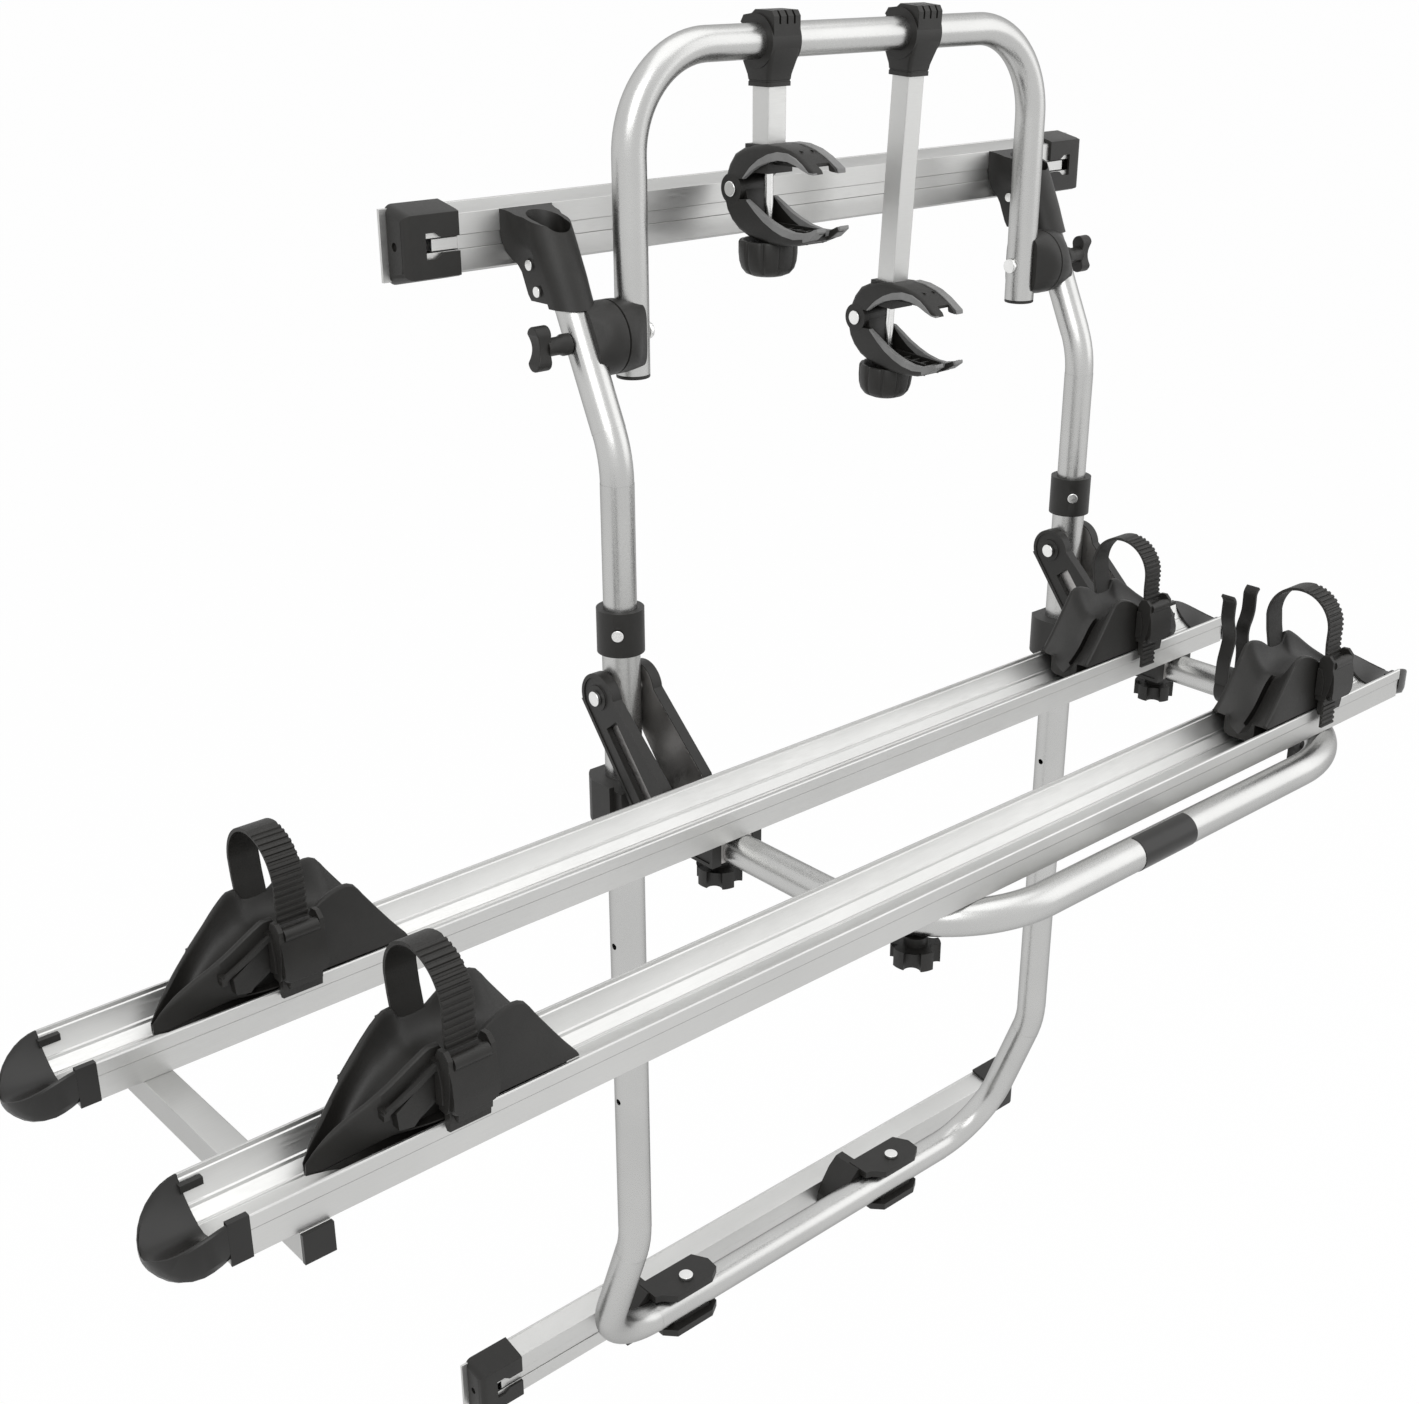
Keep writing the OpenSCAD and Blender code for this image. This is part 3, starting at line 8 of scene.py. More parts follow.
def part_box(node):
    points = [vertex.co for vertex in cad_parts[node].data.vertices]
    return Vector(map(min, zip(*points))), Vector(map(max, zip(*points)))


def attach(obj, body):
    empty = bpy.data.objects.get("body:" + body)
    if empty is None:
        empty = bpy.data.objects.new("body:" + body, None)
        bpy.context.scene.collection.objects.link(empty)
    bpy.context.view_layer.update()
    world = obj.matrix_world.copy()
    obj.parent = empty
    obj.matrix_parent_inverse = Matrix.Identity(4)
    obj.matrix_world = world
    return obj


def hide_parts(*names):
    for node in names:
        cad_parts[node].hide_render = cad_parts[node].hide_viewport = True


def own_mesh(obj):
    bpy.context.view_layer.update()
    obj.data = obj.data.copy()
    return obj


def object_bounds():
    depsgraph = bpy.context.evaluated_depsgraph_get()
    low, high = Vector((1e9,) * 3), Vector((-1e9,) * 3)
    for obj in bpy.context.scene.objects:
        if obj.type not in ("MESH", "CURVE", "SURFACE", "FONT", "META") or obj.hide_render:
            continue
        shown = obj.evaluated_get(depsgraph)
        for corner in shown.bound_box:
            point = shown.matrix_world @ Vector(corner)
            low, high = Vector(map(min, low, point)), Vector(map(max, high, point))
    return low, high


bl_info = {
    "name": "Motorhome bike rack",
    "version": (1, 0, 0),
    "blender": (4, 5, 0),
    "location": "View3D > Sidebar > Bike rack",
    "description": "Finishes and moulded details of a rear-wall bike rack",
    "category": "Object",
}

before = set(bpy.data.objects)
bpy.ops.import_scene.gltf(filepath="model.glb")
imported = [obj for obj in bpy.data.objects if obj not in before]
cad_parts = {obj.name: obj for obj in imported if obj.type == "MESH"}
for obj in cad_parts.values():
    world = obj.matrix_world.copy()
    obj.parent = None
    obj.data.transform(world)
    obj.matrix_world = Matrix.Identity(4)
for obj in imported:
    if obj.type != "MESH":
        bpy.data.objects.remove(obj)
CAD_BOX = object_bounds()
# One millimetre in metres, and the signs of the left and the right side
MM = 0.001
SIDES = (-1, 1)


def low_high(node):
    """The two corners of a node's box, in millimetres."""
    low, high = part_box(node)
    return Vector(low) / MM, Vector(high) / MM


# Wheel rails, read from the frame
RAIL_LOW, RAIL_HIGH = low_high("front_wheel_rail")
REAR_RAIL_LOW, REAR_RAIL_HIGH = low_high("rear_wheel_rail")
PLATFORM_Z = RAIL_HIGH.z
FRONT_Y = (RAIL_HIGH.y + RAIL_LOW.y) / 2
REAR_Y = (REAR_RAIL_HIGH.y + REAR_RAIL_LOW.y) / 2
# Tubes: X of the uprights and of the loop's legs, the swivels' middle, the lean of the upper
# tubes, the loop's bar above the swivels, and the lean of each arm
UPRIGHT_X = 293
LOOP_LEG_X = 242
SWIVEL_SPOT = Vector((0, -93.98, 1056.0))
TILT = math.radians(25)
BAR_RISE = 217
ARM_TILT = {"short": 0.0, "long": math.radians(3.3)}
# Turns of a shape drawn along Z
AIM = {
    "X": Matrix.Rotation(math.pi / 2, 4, "Y"),
    "Y": Matrix.Rotation(-math.pi / 2, 4, "X"),
    "Z": Matrix.Identity(4),
}
CENTRE = (0, 0, 0)


# Mesh helpers: everything is drawn in millimetres and scaled when it is finished
def block(bm, low, high):
    """Adds a box between two corners."""
    low, high = Vector(low), Vector(high)
    place = Matrix.Translation((low + high) / 2) @ Matrix.Diagonal((*(high - low), 1))
    bmesh.ops.create_cube(bm, size=1, matrix=place)


def drum(bm, centre, axis, radius, length, steps):
    """Adds a cylinder about its middle."""
    bmesh.ops.create_cone(
        bm,
        cap_ends=True,
        segments=steps,
        radius1=radius,
        radius2=radius,
        depth=length,
        matrix=Matrix.Translation(centre) @ AIM[axis],
    )


def prism(bm, outline, low, high, axis):
    """Extrudes a closed outline: along X it takes (y, z), along Y (x, z), along Z (x, y)."""
    along = "XYZ".index(axis)
    ring = []
    for point in outline:
        place = list(point)
        place.insert(along, low)
        ring.append(bm.verts.new(place))
    step = [0, 0, 0]
    step[along] = high - low
    far_side = bmesh.ops.extrude_face_region(bm, geom=[bm.faces.new(ring)])["geom"]
    moved = [v for v in far_side if isinstance(v, bmesh.types.BMVert)]
    bmesh.ops.translate(bm, vec=step, verts=moved)


def lofted(sections):
    """A new mesh: closed sections with the same number of points, bridged, and both ends capped."""
    bm = bmesh.new()
    rings = []
    for points in sections:
        verts = [bm.verts.new(p) for p in points]
        edges = [bm.edges.new((verts[i - 1], verts[i])) for i in range(len(verts))]
        rings.append((verts, edges))
    for (_, a), (_, b) in zip(rings, rings[1:]):
        bmesh.ops.bridge_loops(bm, edges=a + b)
    for verts, _ in (rings[0], rings[-1]):
        bm.faces.new(verts)
    return bm


def brick(low, high):
    """A new mesh with one box."""
    bm = bmesh.new()
    block(bm, low, high)
    return bm


def barrel(centre, axis, radius, length, steps):
    """A new mesh with one cylinder."""
    bm = bmesh.new()
    drum(bm, centre, axis, radius, length, steps)
    return bm


def leaning_barrel(centre, radius, length, steps, lean):
    """A new mesh with one cylinder that leans about X."""
    bm = barrel(CENTRE, "Z", radius, length, steps)
    leaned(bm, lean)
    bmesh.ops.translate(bm, vec=centre, verts=bm.verts)
    return bm


def slab(outline, low, high, axis):
    """A new mesh with one prism."""
    bm = bmesh.new()
    prism(bm, outline, low, high, axis)
    return bm


def turned(profile, centre, axis, steps):
    """A new mesh: a profile of (radius, distance along the axis) turned full circle."""
    bm = bmesh.new()
    verts = [bm.verts.new((r, 0, h)) for r, h in profile]
    edges = [bm.edges.new(pair) for pair in zip(verts, verts[1:])]
    bmesh.ops.spin(
        bm,
        geom=verts + edges,
        cent=CENTRE,
        axis=(0, 0, 1),
        dvec=CENTRE,
        angle=math.tau,
        steps=steps,
        use_merge=True,
    )
    bmesh.ops.remove_doubles(bm, verts=bm.verts, dist=0.001)
    bmesh.ops.transform(bm, matrix=Matrix.Translation(centre) @ AIM[axis], verts=bm.verts)
    return bm


def leaned(bm, lean):
    """Turns a mesh about X the way the upper tubes lean."""
    bmesh.ops.rotate(bm, cent=CENTRE, matrix=Matrix.Rotation(-lean, 3, "X"), verts=bm.verts)


def flipped(bm):
    """The same mesh, mirrored in X."""
    bmesh.ops.scale(bm, vec=(-1, 1, 1), verts=bm.verts)
    return bm


def rounded(bm, edges, width, steps):
    """Rounds some edges of a mesh."""
    bmesh.ops.bevel(
        bm,
        geom=edges,
        offset=width,
        offset_type="OFFSET",
        segments=steps,
        profile=0.5,
        affect="EDGES",
        material=-1,
    )


def cut_off(bm, point, normal):
    """Takes away what lies beyond a plane, and returns the edges of the cut."""
    cut = bmesh.ops.bisect_plane(
        bm,
        geom=bm.verts[:] + bm.edges[:] + bm.faces[:],
        dist=0.001,
        plane_co=point,
        plane_no=normal,
        clear_outer=True,
    )
    return [e for e in cut["geom_cut"] if isinstance(e, bmesh.types.BMEdge)]


def linked_faces(start):
    """All faces joined to a vertex through shared edges."""
    seen, queue = set(), list(start.link_faces)
    while queue:
        face = queue.pop()
        if face in seen:
            continue
        seen.add(face)
        queue.extend(f for e in face.edges for f in e.link_faces if f not in seen)
    return seen


def row(table, at):
    """Reads a table of (place, value, ...) at a place, with smooth steps between its rows."""
    if at <= table[0][0]:
        return table[0][1:]
    for i in range(len(table) - 1):
        a, b = table[i], table[i + 1]
        if at <= b[0]:
            before, after = table[max(i - 1, 0)], table[min(i + 2, len(table) - 1)]
            t = (at - a[0]) / (b[0] - a[0])
            out = []
            for k in range(1, len(a)):
                span = b[0] - a[0]
                m0 = (b[k] - before[k]) / (b[0] - before[0]) * span
                m1 = (after[k] - a[k]) / (after[0] - a[0]) * span
                rise = b[k] - a[k]
                if m0 * rise <= 0:
                    m0 = 0
                if m1 * rise <= 0:
                    m1 = 0
                t2, t3 = t * t, t * t * t
                out.append(
                    a[k] * (2 * t3 - 3 * t2 + 1)
                    + m0 * (t3 - 2 * t2 + t)
                    + b[k] * (3 * t2 - 2 * t3)
                    + m1 * (t3 - t2)
                )
            return tuple(out)
    return table[-1][1:]


def spread(low, high, count):
    """Evenly spaced values from one end to the other."""
    return [low + (high - low) * i / (count - 1) for i in range(count)]


def arc(centre, radius, start, end, count):
    """Points of an arc, angles in degrees."""
    return [
        (
            centre[0] + radius * math.cos(math.radians(a)),
            centre[1] + radius * math.sin(math.radians(a)),
        )
        for a in spread(start, end, count)
    ]


def carved(bm, cutter):
    """Cuts one closed shape out of another and frees the cutter."""
    objects = []
    for part in (bm, cutter):
        bmesh.ops.recalc_face_normals(part, faces=part.faces)
        mesh = bpy.data.meshes.new("carving")
        part.to_mesh(mesh)
        part.free()
        objects.append(bpy.data.objects.new("carving", mesh))
        bpy.context.scene.collection.objects.link(objects[-1])
    solid, tool = objects
    cut = solid.modifiers.new("cut", "BOOLEAN")
    cut.operation = "DIFFERENCE"
    cut.solver = "EXACT"
    cut.object = tool
    result = solid.evaluated_get(bpy.context.evaluated_depsgraph_get()).to_mesh()
    out = bmesh.new()
    out.from_mesh(result)
    for item in objects:
        mesh = item.data
        bpy.data.objects.remove(item)
        bpy.data.meshes.remove(mesh)
    bmesh.ops.remove_doubles(out, verts=out.verts, dist=0.002)
    return out


def joined(parts):
    """One mesh out of several."""
    out = bmesh.new()
    for part in parts:
        bmesh.ops.recalc_face_normals(part, faces=part.faces)
        mesh = bpy.data.meshes.new("joined")
        part.to_mesh(mesh)
        part.free()
        out.from_mesh(mesh)
        bpy.data.meshes.remove(mesh)
    return out


def cad_copy(node):
    """A merged copy of a CAD node's mesh, in millimetres, with its flat faces whole again."""
    bm = bmesh.new()
    bm.from_mesh(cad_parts[node].data)
    bmesh.ops.scale(bm, vec=(1 / MM,) * 3, verts=bm.verts)
    bmesh.ops.remove_doubles(bm, verts=bm.verts, dist=0.01)
    bmesh.ops.dissolve_degenerate(bm, dist=0.01, edges=bm.edges)
    bmesh.ops.dissolve_limit(bm, angle_limit=math.radians(0.6), verts=bm.verts, edges=bm.edges)
    return bm


def piece(name, bm, body, material, replaces=(), round_edge=0.5, sharp=38, move=None):
    """Finishes a mesh: normals, soft edges, material, body and the nodes that it stands for."""
    if move is not None:
        bmesh.ops.transform(bm, matrix=move, verts=bm.verts)
    bmesh.ops.scale(bm, vec=(MM,) * 3, verts=bm.verts)
    bmesh.ops.recalc_face_normals(bm, faces=bm.faces)
    mesh = bpy.data.meshes.new(name)
    bm.to_mesh(mesh)
    bm.free()
    mesh.shade_smooth()
    mesh.set_sharp_from_angle(angle=math.radians(sharp))
    item = bpy.data.objects.new(name, mesh)
    bpy.context.scene.collection.objects.link(item)
    mesh.materials.append(bpy.data.materials[material])
    if round_edge:
        edge = item.modifiers.new("soft edges", "BEVEL")
        edge.width = round_edge * MM
        edge.segments = 2
        edge.limit_method = "ANGLE"
        edge.angle_limit = math.radians(sharp)
        edge.use_clamp_overlap = True
        edge.harden_normals = True
    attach(item, body)
    if replaces:
        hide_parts(*replaces)
    return item


# Materials: grey edge tint of the metals, a painted shade that darkens their rims as dark
# surroundings would in the reflection, sheen of the plastics, strength of every grain, and where
# a noise starts and stops to change the surface
METAL_RIM_PAINTED_SHADE = (0.55, 0.55, 0.55, 1)
PLASTIC_SHEEN = 0.42
GRAIN_STRENGTH = 0.5
NOISE_SPAN = (0.3, 0.7)
# Finishes: colour setting and its factor, roughness from and to, metal, scale of the grain and
# its depth in metres, scale of the patches, how much the colour varies, stretch of the grain
FINISHES = {
    "moulded_plastic": ("plastic_colour", 1, (0.42, 0.58), 0, 1400, 0.00012, 60, 0.18),
    "strap_plastic": ("plastic_colour", 1.15, (0.5, 0.66), 0, 900, 0.0001, 90, 0.15),
    "smooth_plastic": ("plastic_colour", 0.7, (0.3, 0.4), 0, 1600, 0.00005, 40, 0.15),
    "rubber_pad": ("pad_colour", 1, (0.6, 0.78), 0, 1200, 0.00015, 70, 0.12),
    "tube_aluminium": ("tube_colour", 1, (0.22, 0.36), 1, 1700, 0.00006, 14, 0.04),
    "rail_aluminium": ("rail_colour", 1, (0.34, 0.5), 1, 60, 0.00005, 9, 0.04, (1, 40, 40)),
    "plate_steel": ("plate_colour", 1, (0.28, 0.5), 1, 500, 0.00004, 25, 0.1),
    "bolt_steel": ("bolt_colour", 1, (0.12, 0.26), 1, 1500, 0.00002, 80, 0.05),
}
METAL_NODES = {
    "tube_aluminium": ("lower_frame", "upper_tubes", "arm_loop_tube", "platform_tube"),
    "rail_aluminium": (
        "lower_wall_rail", "upper_wall_rail", "front_wheel_rail", "rear_wheel_rail", "cross_bar",
        "short_arm_tube", "long_arm_tube",
    ),
    "plate_steel": ("brace_plates",),
    "bolt_steel": (
        "frame_bolts", "bracket_screws", "swivel_bolts", "short_jaw_pins", "long_jaw_pins",
    ),
}
# Nodes whose modelled shape is right as it is: node, body, material and rounding of the edges
SOFT_COPIES = (
    ("lower_wall_rail", "wall_side", "rail_aluminium", 0.5),
    ("upper_wall_rail", "upper_section", "rail_aluminium", 0.5),
    ("clamp_bottom_jaws", "wall_side", "moulded_plastic", 1.2),
    ("tube_collars", "wall_side", "moulded_plastic", 1.2),
    ("stop_collars", "wall_side", "moulded_plastic", 1.6),
    ("frame_bolts", "wall_side", "bolt_steel", 1.1),
    ("bracket_screws", "upper_section", "bolt_steel", 1.0),
    ("loop_end_caps", "arm_loop", "moulded_plastic", 1.2),
    ("swivel_bolts", "arm_loop", "bolt_steel", 1.2),
    ("short_arm_tube", "short_arm", "rail_aluminium", 1.0),
    ("short_jaw_pins", "short_arm", "bolt_steel", 0.7),
    ("long_arm_tube", "long_arm", "rail_aluminium", 1.0),
    ("long_jaw_pins", "long_arm", "bolt_steel", 0.7),
    ("brace_plates", "platform", "plate_steel", 0.5),
    ("brace_covers", "platform", "moulded_plastic", 1.3),
    ("cross_bar", "platform", "rail_aluminium", 0.7),
    ("wing_knob_front_left", "knob_front_left", "moulded_plastic", 1.2),
    ("wing_knob_rear_left", "knob_rear_left", "moulded_plastic", 1.2),
    ("wing_knob_front_right", "knob_front_right", "moulded_plastic", 1.2),
    ("wing_knob_rear_right", "knob_rear_right", "moulded_plastic", 1.2),
)


def noise(nodes, links, coord, scale, detail, stretch=None):
    """A noise in the object's own space."""
    source = coord.outputs["Object"]
    if stretch:
        mapping = nodes.new("ShaderNodeMapping")
        mapping.inputs["Scale"].default_value = stretch
        links.new(source, mapping.inputs["Vector"])
        source = mapping.outputs["Vector"]
    tex = nodes.new("ShaderNodeTexNoise")
    tex.inputs["Scale"].default_value = scale
    tex.inputs["Detail"].default_value = detail
    links.new(source, tex.inputs["Vector"])
    return tex.outputs["Fac"]


def ramp(nodes, links, factor, low, high):
    """A value or a colour between two ends."""
    node = nodes.new("ShaderNodeValToRGB")
    for element, place, value in zip(node.color_ramp.elements, NOISE_SPAN, (low, high)):
        element.position = place
        element.color = (*value, 1) if hasattr(value, "__len__") else (value, value, value, 1)
    links.new(factor, node.inputs["Fac"])
    return node.outputs["Color"]


def tint(colour, factor):
    """A colour made lighter or darker."""
    return tuple(min(1.0, c * factor) for c in colour)


def finish_material(
    name, colour, rough, metallic, grain, grain_depth, patch, variation, stretch=None
):
    """A surface whose colour, gloss and grain vary in the object's own space."""
    material = bpy.data.materials.new(name)
    material.use_nodes = True
    nodes, links = material.node_tree.nodes, material.node_tree.links
    shader = nodes["Principled BSDF"]
    coord = nodes.new("ShaderNodeTexCoord")
    shader.inputs["Metallic"].default_value = metallic
    if metallic:
        # The grey edge tint is painted shade: it darkens the metals' rims as a dark reflection
        # would
        shader.inputs["Specular Tint"].default_value = METAL_RIM_PAINTED_SHADE
    else:
        shader.inputs["Specular IOR Level"].default_value = PLASTIC_SHEEN
    broad = noise(nodes, links, coord, patch, 3.0)
    fine = noise(nodes, links, coord, grain, 2.0, stretch)
    links.new(
        ramp(nodes, links, broad, tint(colour, 1 - variation), tint(colour, 1 + variation)),
        shader.inputs["Base Color"],
    )
    links.new(ramp(nodes, links, fine, *rough), shader.inputs["Roughness"])
    bump = nodes.new("ShaderNodeBump")
    bump.inputs["Strength"].default_value = GRAIN_STRENGTH
    bump.inputs["Distance"].default_value = grain_depth
    links.new(fine, bump.inputs["Height"])
    links.new(bump.outputs["Normal"], shader.inputs["Normal"])


def make_materials(look):
    """Every finish, in the colours of the panel."""
    for name, (setting, factor, *rest) in FINISHES.items():
        finish_material(name, tint(getattr(look, setting), factor), *rest)


# Sizes and colours that a user would change
def colour_prop(name, description, default):
    return bpy.props.FloatVectorProperty(
        name=name, description=description, default=default, size=3, min=0, max=1, subtype="COLOR"
    )


def length_prop(name, description, default):
    return bpy.props.FloatProperty(
        name=name,
        description=description,
        default=default,
        min=0,
        soft_max=1,
        subtype="DISTANCE",
        unit="LENGTH",
    )


def power_prop(name, description, default):
    return bpy.props.FloatProperty(
        name=name, description=description, default=default, unit="POWER"
    )


class RackFinish(bpy.types.PropertyGroup):
    plastic_colour: colour_prop("Plastic", "Black of the moulded parts", (0.0098, 0.0092, 0.008))
    pad_colour: colour_prop("Pads", "Grey of the jaw pads", (0.2, 0.2, 0.198))
    tube_colour: colour_prop("Tubes", "Anodised tubes", (0.52, 0.52, 0.512))
    rail_colour: colour_prop("Rails", "Extruded rails", (0.6, 0.6, 0.59))
    plate_colour: colour_prop("Brace plates", "Steel of the folding braces", (0.42, 0.41, 0.4))
    bolt_colour: colour_prop("Bolts", "Bright bolts and screws", (0.8, 0.8, 0.79))


class RackSizes(bpy.types.PropertyGroup):
    rib_pitch: length_prop("Rib pitch", "Distance between two strap ribs", 0.0046)
    rib_depth: length_prop("Rib depth", "Depth of the strap's ribs", 0.0012)
    badge_start: length_prop("Badge start", "The badge's right end from the middle", 0.002)
    badge_length: length_prop("Badge length", "Length of the plain badge", 0.068)
    badge_thickness: length_prop("Badge thickness", "Thickness of the plain badge", 0.0004)


class RackStage(bpy.types.PropertyGroup):
    floor_drop: length_prop("Floor drop", "Height of the rack above the floor", 0.35)
    floor_size: length_prop("Floor size", "Side of the floor", 160.0)
    key_power: power_prop("Key lamp", "Power of the key lamp", 60)
    fill_power: power_prop("Fill lamp", "Power of the fill lamp", 24)
    sky: bpy.props.FloatProperty(
        name="Sky", description="Strength of the sky on dull surfaces", default=0.75
    )


class RackOperator(bpy.types.Operator):
    """Base of the builders: each one draws its pieces with the colours and sizes of the panel"""

    bl_options = {"REGISTER", "UNDO"}

    def execute(self, context):
        self.build(context.scene.rack_finish, context.scene.rack_sizes)
        return {"FINISHED"}


# Lamps: name, place and side in metres, and the setting of the power
LAMPS = (
    ("key_lamp", (-2.6, -2.4, 3.4), 2.8, "key_power"),
    ("fill_lamp", (2.6, -2.2, 2.2), 3.0, "fill_power"),
    ("top_lamp", (0.2, -0.6, 3.6), 2.8, "fill_power"),
)
# The photograph's camera, fitted to its tubes and rails: azimuth, elevation and roll in degrees,
# place in metres, focal length and sensor width in millimetres
PHOTO_ANGLES = (-41.18, 22.88, -0.23)
PHOTO_PLACE = (-1.1722, -1.25, 1.3574)
PHOTO_LENS = 46.564
SENSOR_WIDTH = 36
VIEW_DEPTH = 400
# Floor: grey of its surface, and the share of white that the camera sees in its place
FLOOR_GREY = (0.86, 0.86, 0.86, 1)
FLOOR_GLOW = 0.97


class RACK_OT_stage(bpy.types.Operator):
    """Floor, sky, lamps and the camera at the photograph's angle"""

    bl_idname = "rack.stage"
    bl_label = "Stage"

    def execute(self, context):
        stage = context.scene.rack_stage
        scene = context.scene
        scene.view_settings.view_transform = "Standard"
        middle = (CAD_BOX[0] + CAD_BOX[1]) / 2
        drop = (middle.x, middle.y, CAD_BOX[0].z - stage.floor_drop)
        bm = bmesh.new()
        bmesh.ops.create_grid(bm, x_segments=1, y_segments=1, size=stage.floor_size / 2)
        bmesh.ops.translate(bm, vec=drop, verts=bm.verts)
        mesh = bpy.data.meshes.new("floor")
        bm.to_mesh(mesh)
        bm.free()
        floor = bpy.data.objects.new("floor", mesh)
        scene.collection.objects.link(floor)
        mesh.materials.append(self.pale("floor_white"))
        self.sky(scene, stage.sky)
        for name, place, size, setting in LAMPS:
            self.lamp(scene, name, place, middle, size, getattr(stage, setting))
        self.camera(scene)
        return {"FINISHED"}

    def larger(self, nodes, links, first, second):
        """The larger of two values."""
        node = nodes.new("ShaderNodeMath")
        node.operation = "MAXIMUM"
        links.new(first, node.inputs[0])
        links.new(second, node.inputs[1])
        return node.outputs[0]

    def pale(self, name):
        """White to the camera and in reflections, with the rack's soft shadow."""
        material = bpy.data.materials.new(name)
        material.use_nodes = True
        nodes, links = material.node_tree.nodes, material.node_tree.links
        shader = nodes["Principled BSDF"]
        shader.inputs["Base Color"].default_value = FLOOR_GREY
        shader.inputs["Roughness"].default_value = 0.9
        shader.inputs["Specular IOR Level"].default_value = 0.1
        glow = nodes.new("ShaderNodeEmission")
        mix = nodes.new("ShaderNodeMixShader")
        path = nodes.new("ShaderNodeLightPath").outputs
        seen = self.larger(nodes, links, path["Is Camera Ray"], path["Is Glossy Ray"])
        share = nodes.new("ShaderNodeMath")
        share.operation = "MULTIPLY"
        share.inputs[1].default_value = FLOOR_GLOW
        links.new(seen, share.inputs[0])
        links.new(share.outputs[0], mix.inputs[0])
        links.new(shader.outputs[0], mix.inputs[1])
        links.new(glow.outputs[0], mix.inputs[2])
        links.new(mix.outputs[0], nodes["Material Output"].inputs["Surface"])
        return material

    def sky(self, scene, strength):
        """White where it is seen or mirrored, and softer where it lights the dull surfaces."""
        world = bpy.data.worlds.new("pale_sky")
        scene.world = world
        world.use_nodes = True
        nodes, links = world.node_tree.nodes, world.node_tree.links
        back = nodes["Background"]
        back.inputs["Color"].default_value = (1, 1, 1, 1)
        path = nodes.new("ShaderNodeLightPath").outputs
        seen = self.larger(nodes, links, path["Is Camera Ray"], path["Is Glossy Ray"])
        seen = self.larger(nodes, links, seen, path["Is Transmission Ray"])
        level = nodes.new("ShaderNodeMapRange")
        level.inputs["To Min"].default_value = strength
        level.inputs["To Max"].default_value = 1.0
        links.new(seen, level.inputs["Value"])
        links.new(level.outputs[0], back.inputs["Strength"])

    def lamp(self, scene, name, place, target, size, power):
        """A square lamp that faces a target."""
        data = bpy.data.lights.new(name, "AREA")
        data.shape = "SQUARE"
        data.size = size
        data.energy = power
        item = bpy.data.objects.new(name, data)
        scene.collection.objects.link(item)
        item.location = place
        item.rotation_mode = "QUATERNION"
        item.rotation_quaternion = (target - Vector(place)).to_track_quat("-Z", "Y")

    def camera(self, scene):
        """The photograph's camera."""
        data = bpy.data.cameras.new("photo_camera")
        data.sensor_width = SENSOR_WIDTH
        data.lens = PHOTO_LENS
        data.clip_end = VIEW_DEPTH
        item = bpy.data.objects.new("photo_camera", data)
        scene.collection.objects.link(item)
        azimuth, elevation, roll = (math.radians(a) for a in PHOTO_ANGLES)
        flat = math.cos(elevation)
        back = Vector((math.sin(azimuth) * flat, -math.cos(azimuth) * flat, math.sin(elevation)))
        item.location = PHOTO_PLACE
        item.rotation_mode = "QUATERNION"
        aim = (-back).to_track_quat("-Z", "Y").to_matrix()
        item.rotation_quaternion = (aim @ Matrix.Rotation(roll, 3, "Z")).to_quaternion()
        scene.camera = item


class RACK_OT_metal(RackOperator):
    """Materials of all modelled pieces: metal where the table says so, else plastic"""

    bl_idname = "rack.metal"
    bl_label = "Metal parts"

    def build(self, look, sizes):
        make_materials(look)
        metals = {name: metal for metal, names in METAL_NODES.items() for name in names}
        for name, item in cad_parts.items():
            item.data.materials.clear()
            item.data.materials.append(bpy.data.materials[metals.get(name, "moulded_plastic")])


class RACK_OT_moulded(RackOperator):
    """Plain mouldings, rails and bolts: the modelled shapes with soft edges"""

    bl_idname = "rack.moulded"
    bl_label = "Mouldings and rails"

    def build(self, look, sizes):
        for name, body, material, edge in SOFT_COPIES:
            piece(name + "_soft", cad_copy(name), body, material, [name], edge)


# Foot clamps: places along the rail, what is cut off each plate from its place (near, far and
# height), the outline of the arm that reaches down into the rail's slot and how far it stands
# out, and the hook behind the slot
CLAMP_PLACES = (-175, 137)
CLAMP_CUT = (-80, -44, -20, 60)
CLAMP_ARM_LINE = (
    (-74, -5.4), (-52, -5.4), (-46, 8), (-40, 32), (-36, 40.4), (-36, 47.9), (-46, 47), (-57, 38),
    (-67, 24), (-74, 9),
)
CLAMP_ARM_INSET = 25
CLAMP_ARM_BACK = -25.1
CLAMP_HOOK = ((-74, -25.3, -5.4), (-52, -14, 5.4))


class RACK_OT_clamps(RackOperator):
    """Top jaws of the foot clamps: rounded plates with arms that slant into the lower rail"""

    bl_idname = "rack.clamps"
    bl_label = "Foot clamps"

    def build(self, look, sizes):
        low, high = low_high("clamp_top_jaws")
        near, far, bottom, top = CLAMP_CUT
        jaws = cad_copy("clamp_top_jaws")
        for x in CLAMP_PLACES:
            jaws = carved(jaws, brick((x + near, low.y - 5, bottom), (x + far, high.y + 5, top)))
        parts = [jaws]
        for place in CLAMP_PLACES:
            line = [(place + x, z) for x, z in CLAMP_ARM_LINE]
            parts.append(slab(line, low.y + CLAMP_ARM_INSET, CLAMP_ARM_BACK, "Y"))
            parts.append(brick(*[(place + x, y, z) for x, y, z in CLAMP_HOOK]))
        piece(
            "foot_clamp_jaws", joined(parts), "wall_side", "moulded_plastic",
            ["clamp_top_jaws"], 1.6, 32,
        )


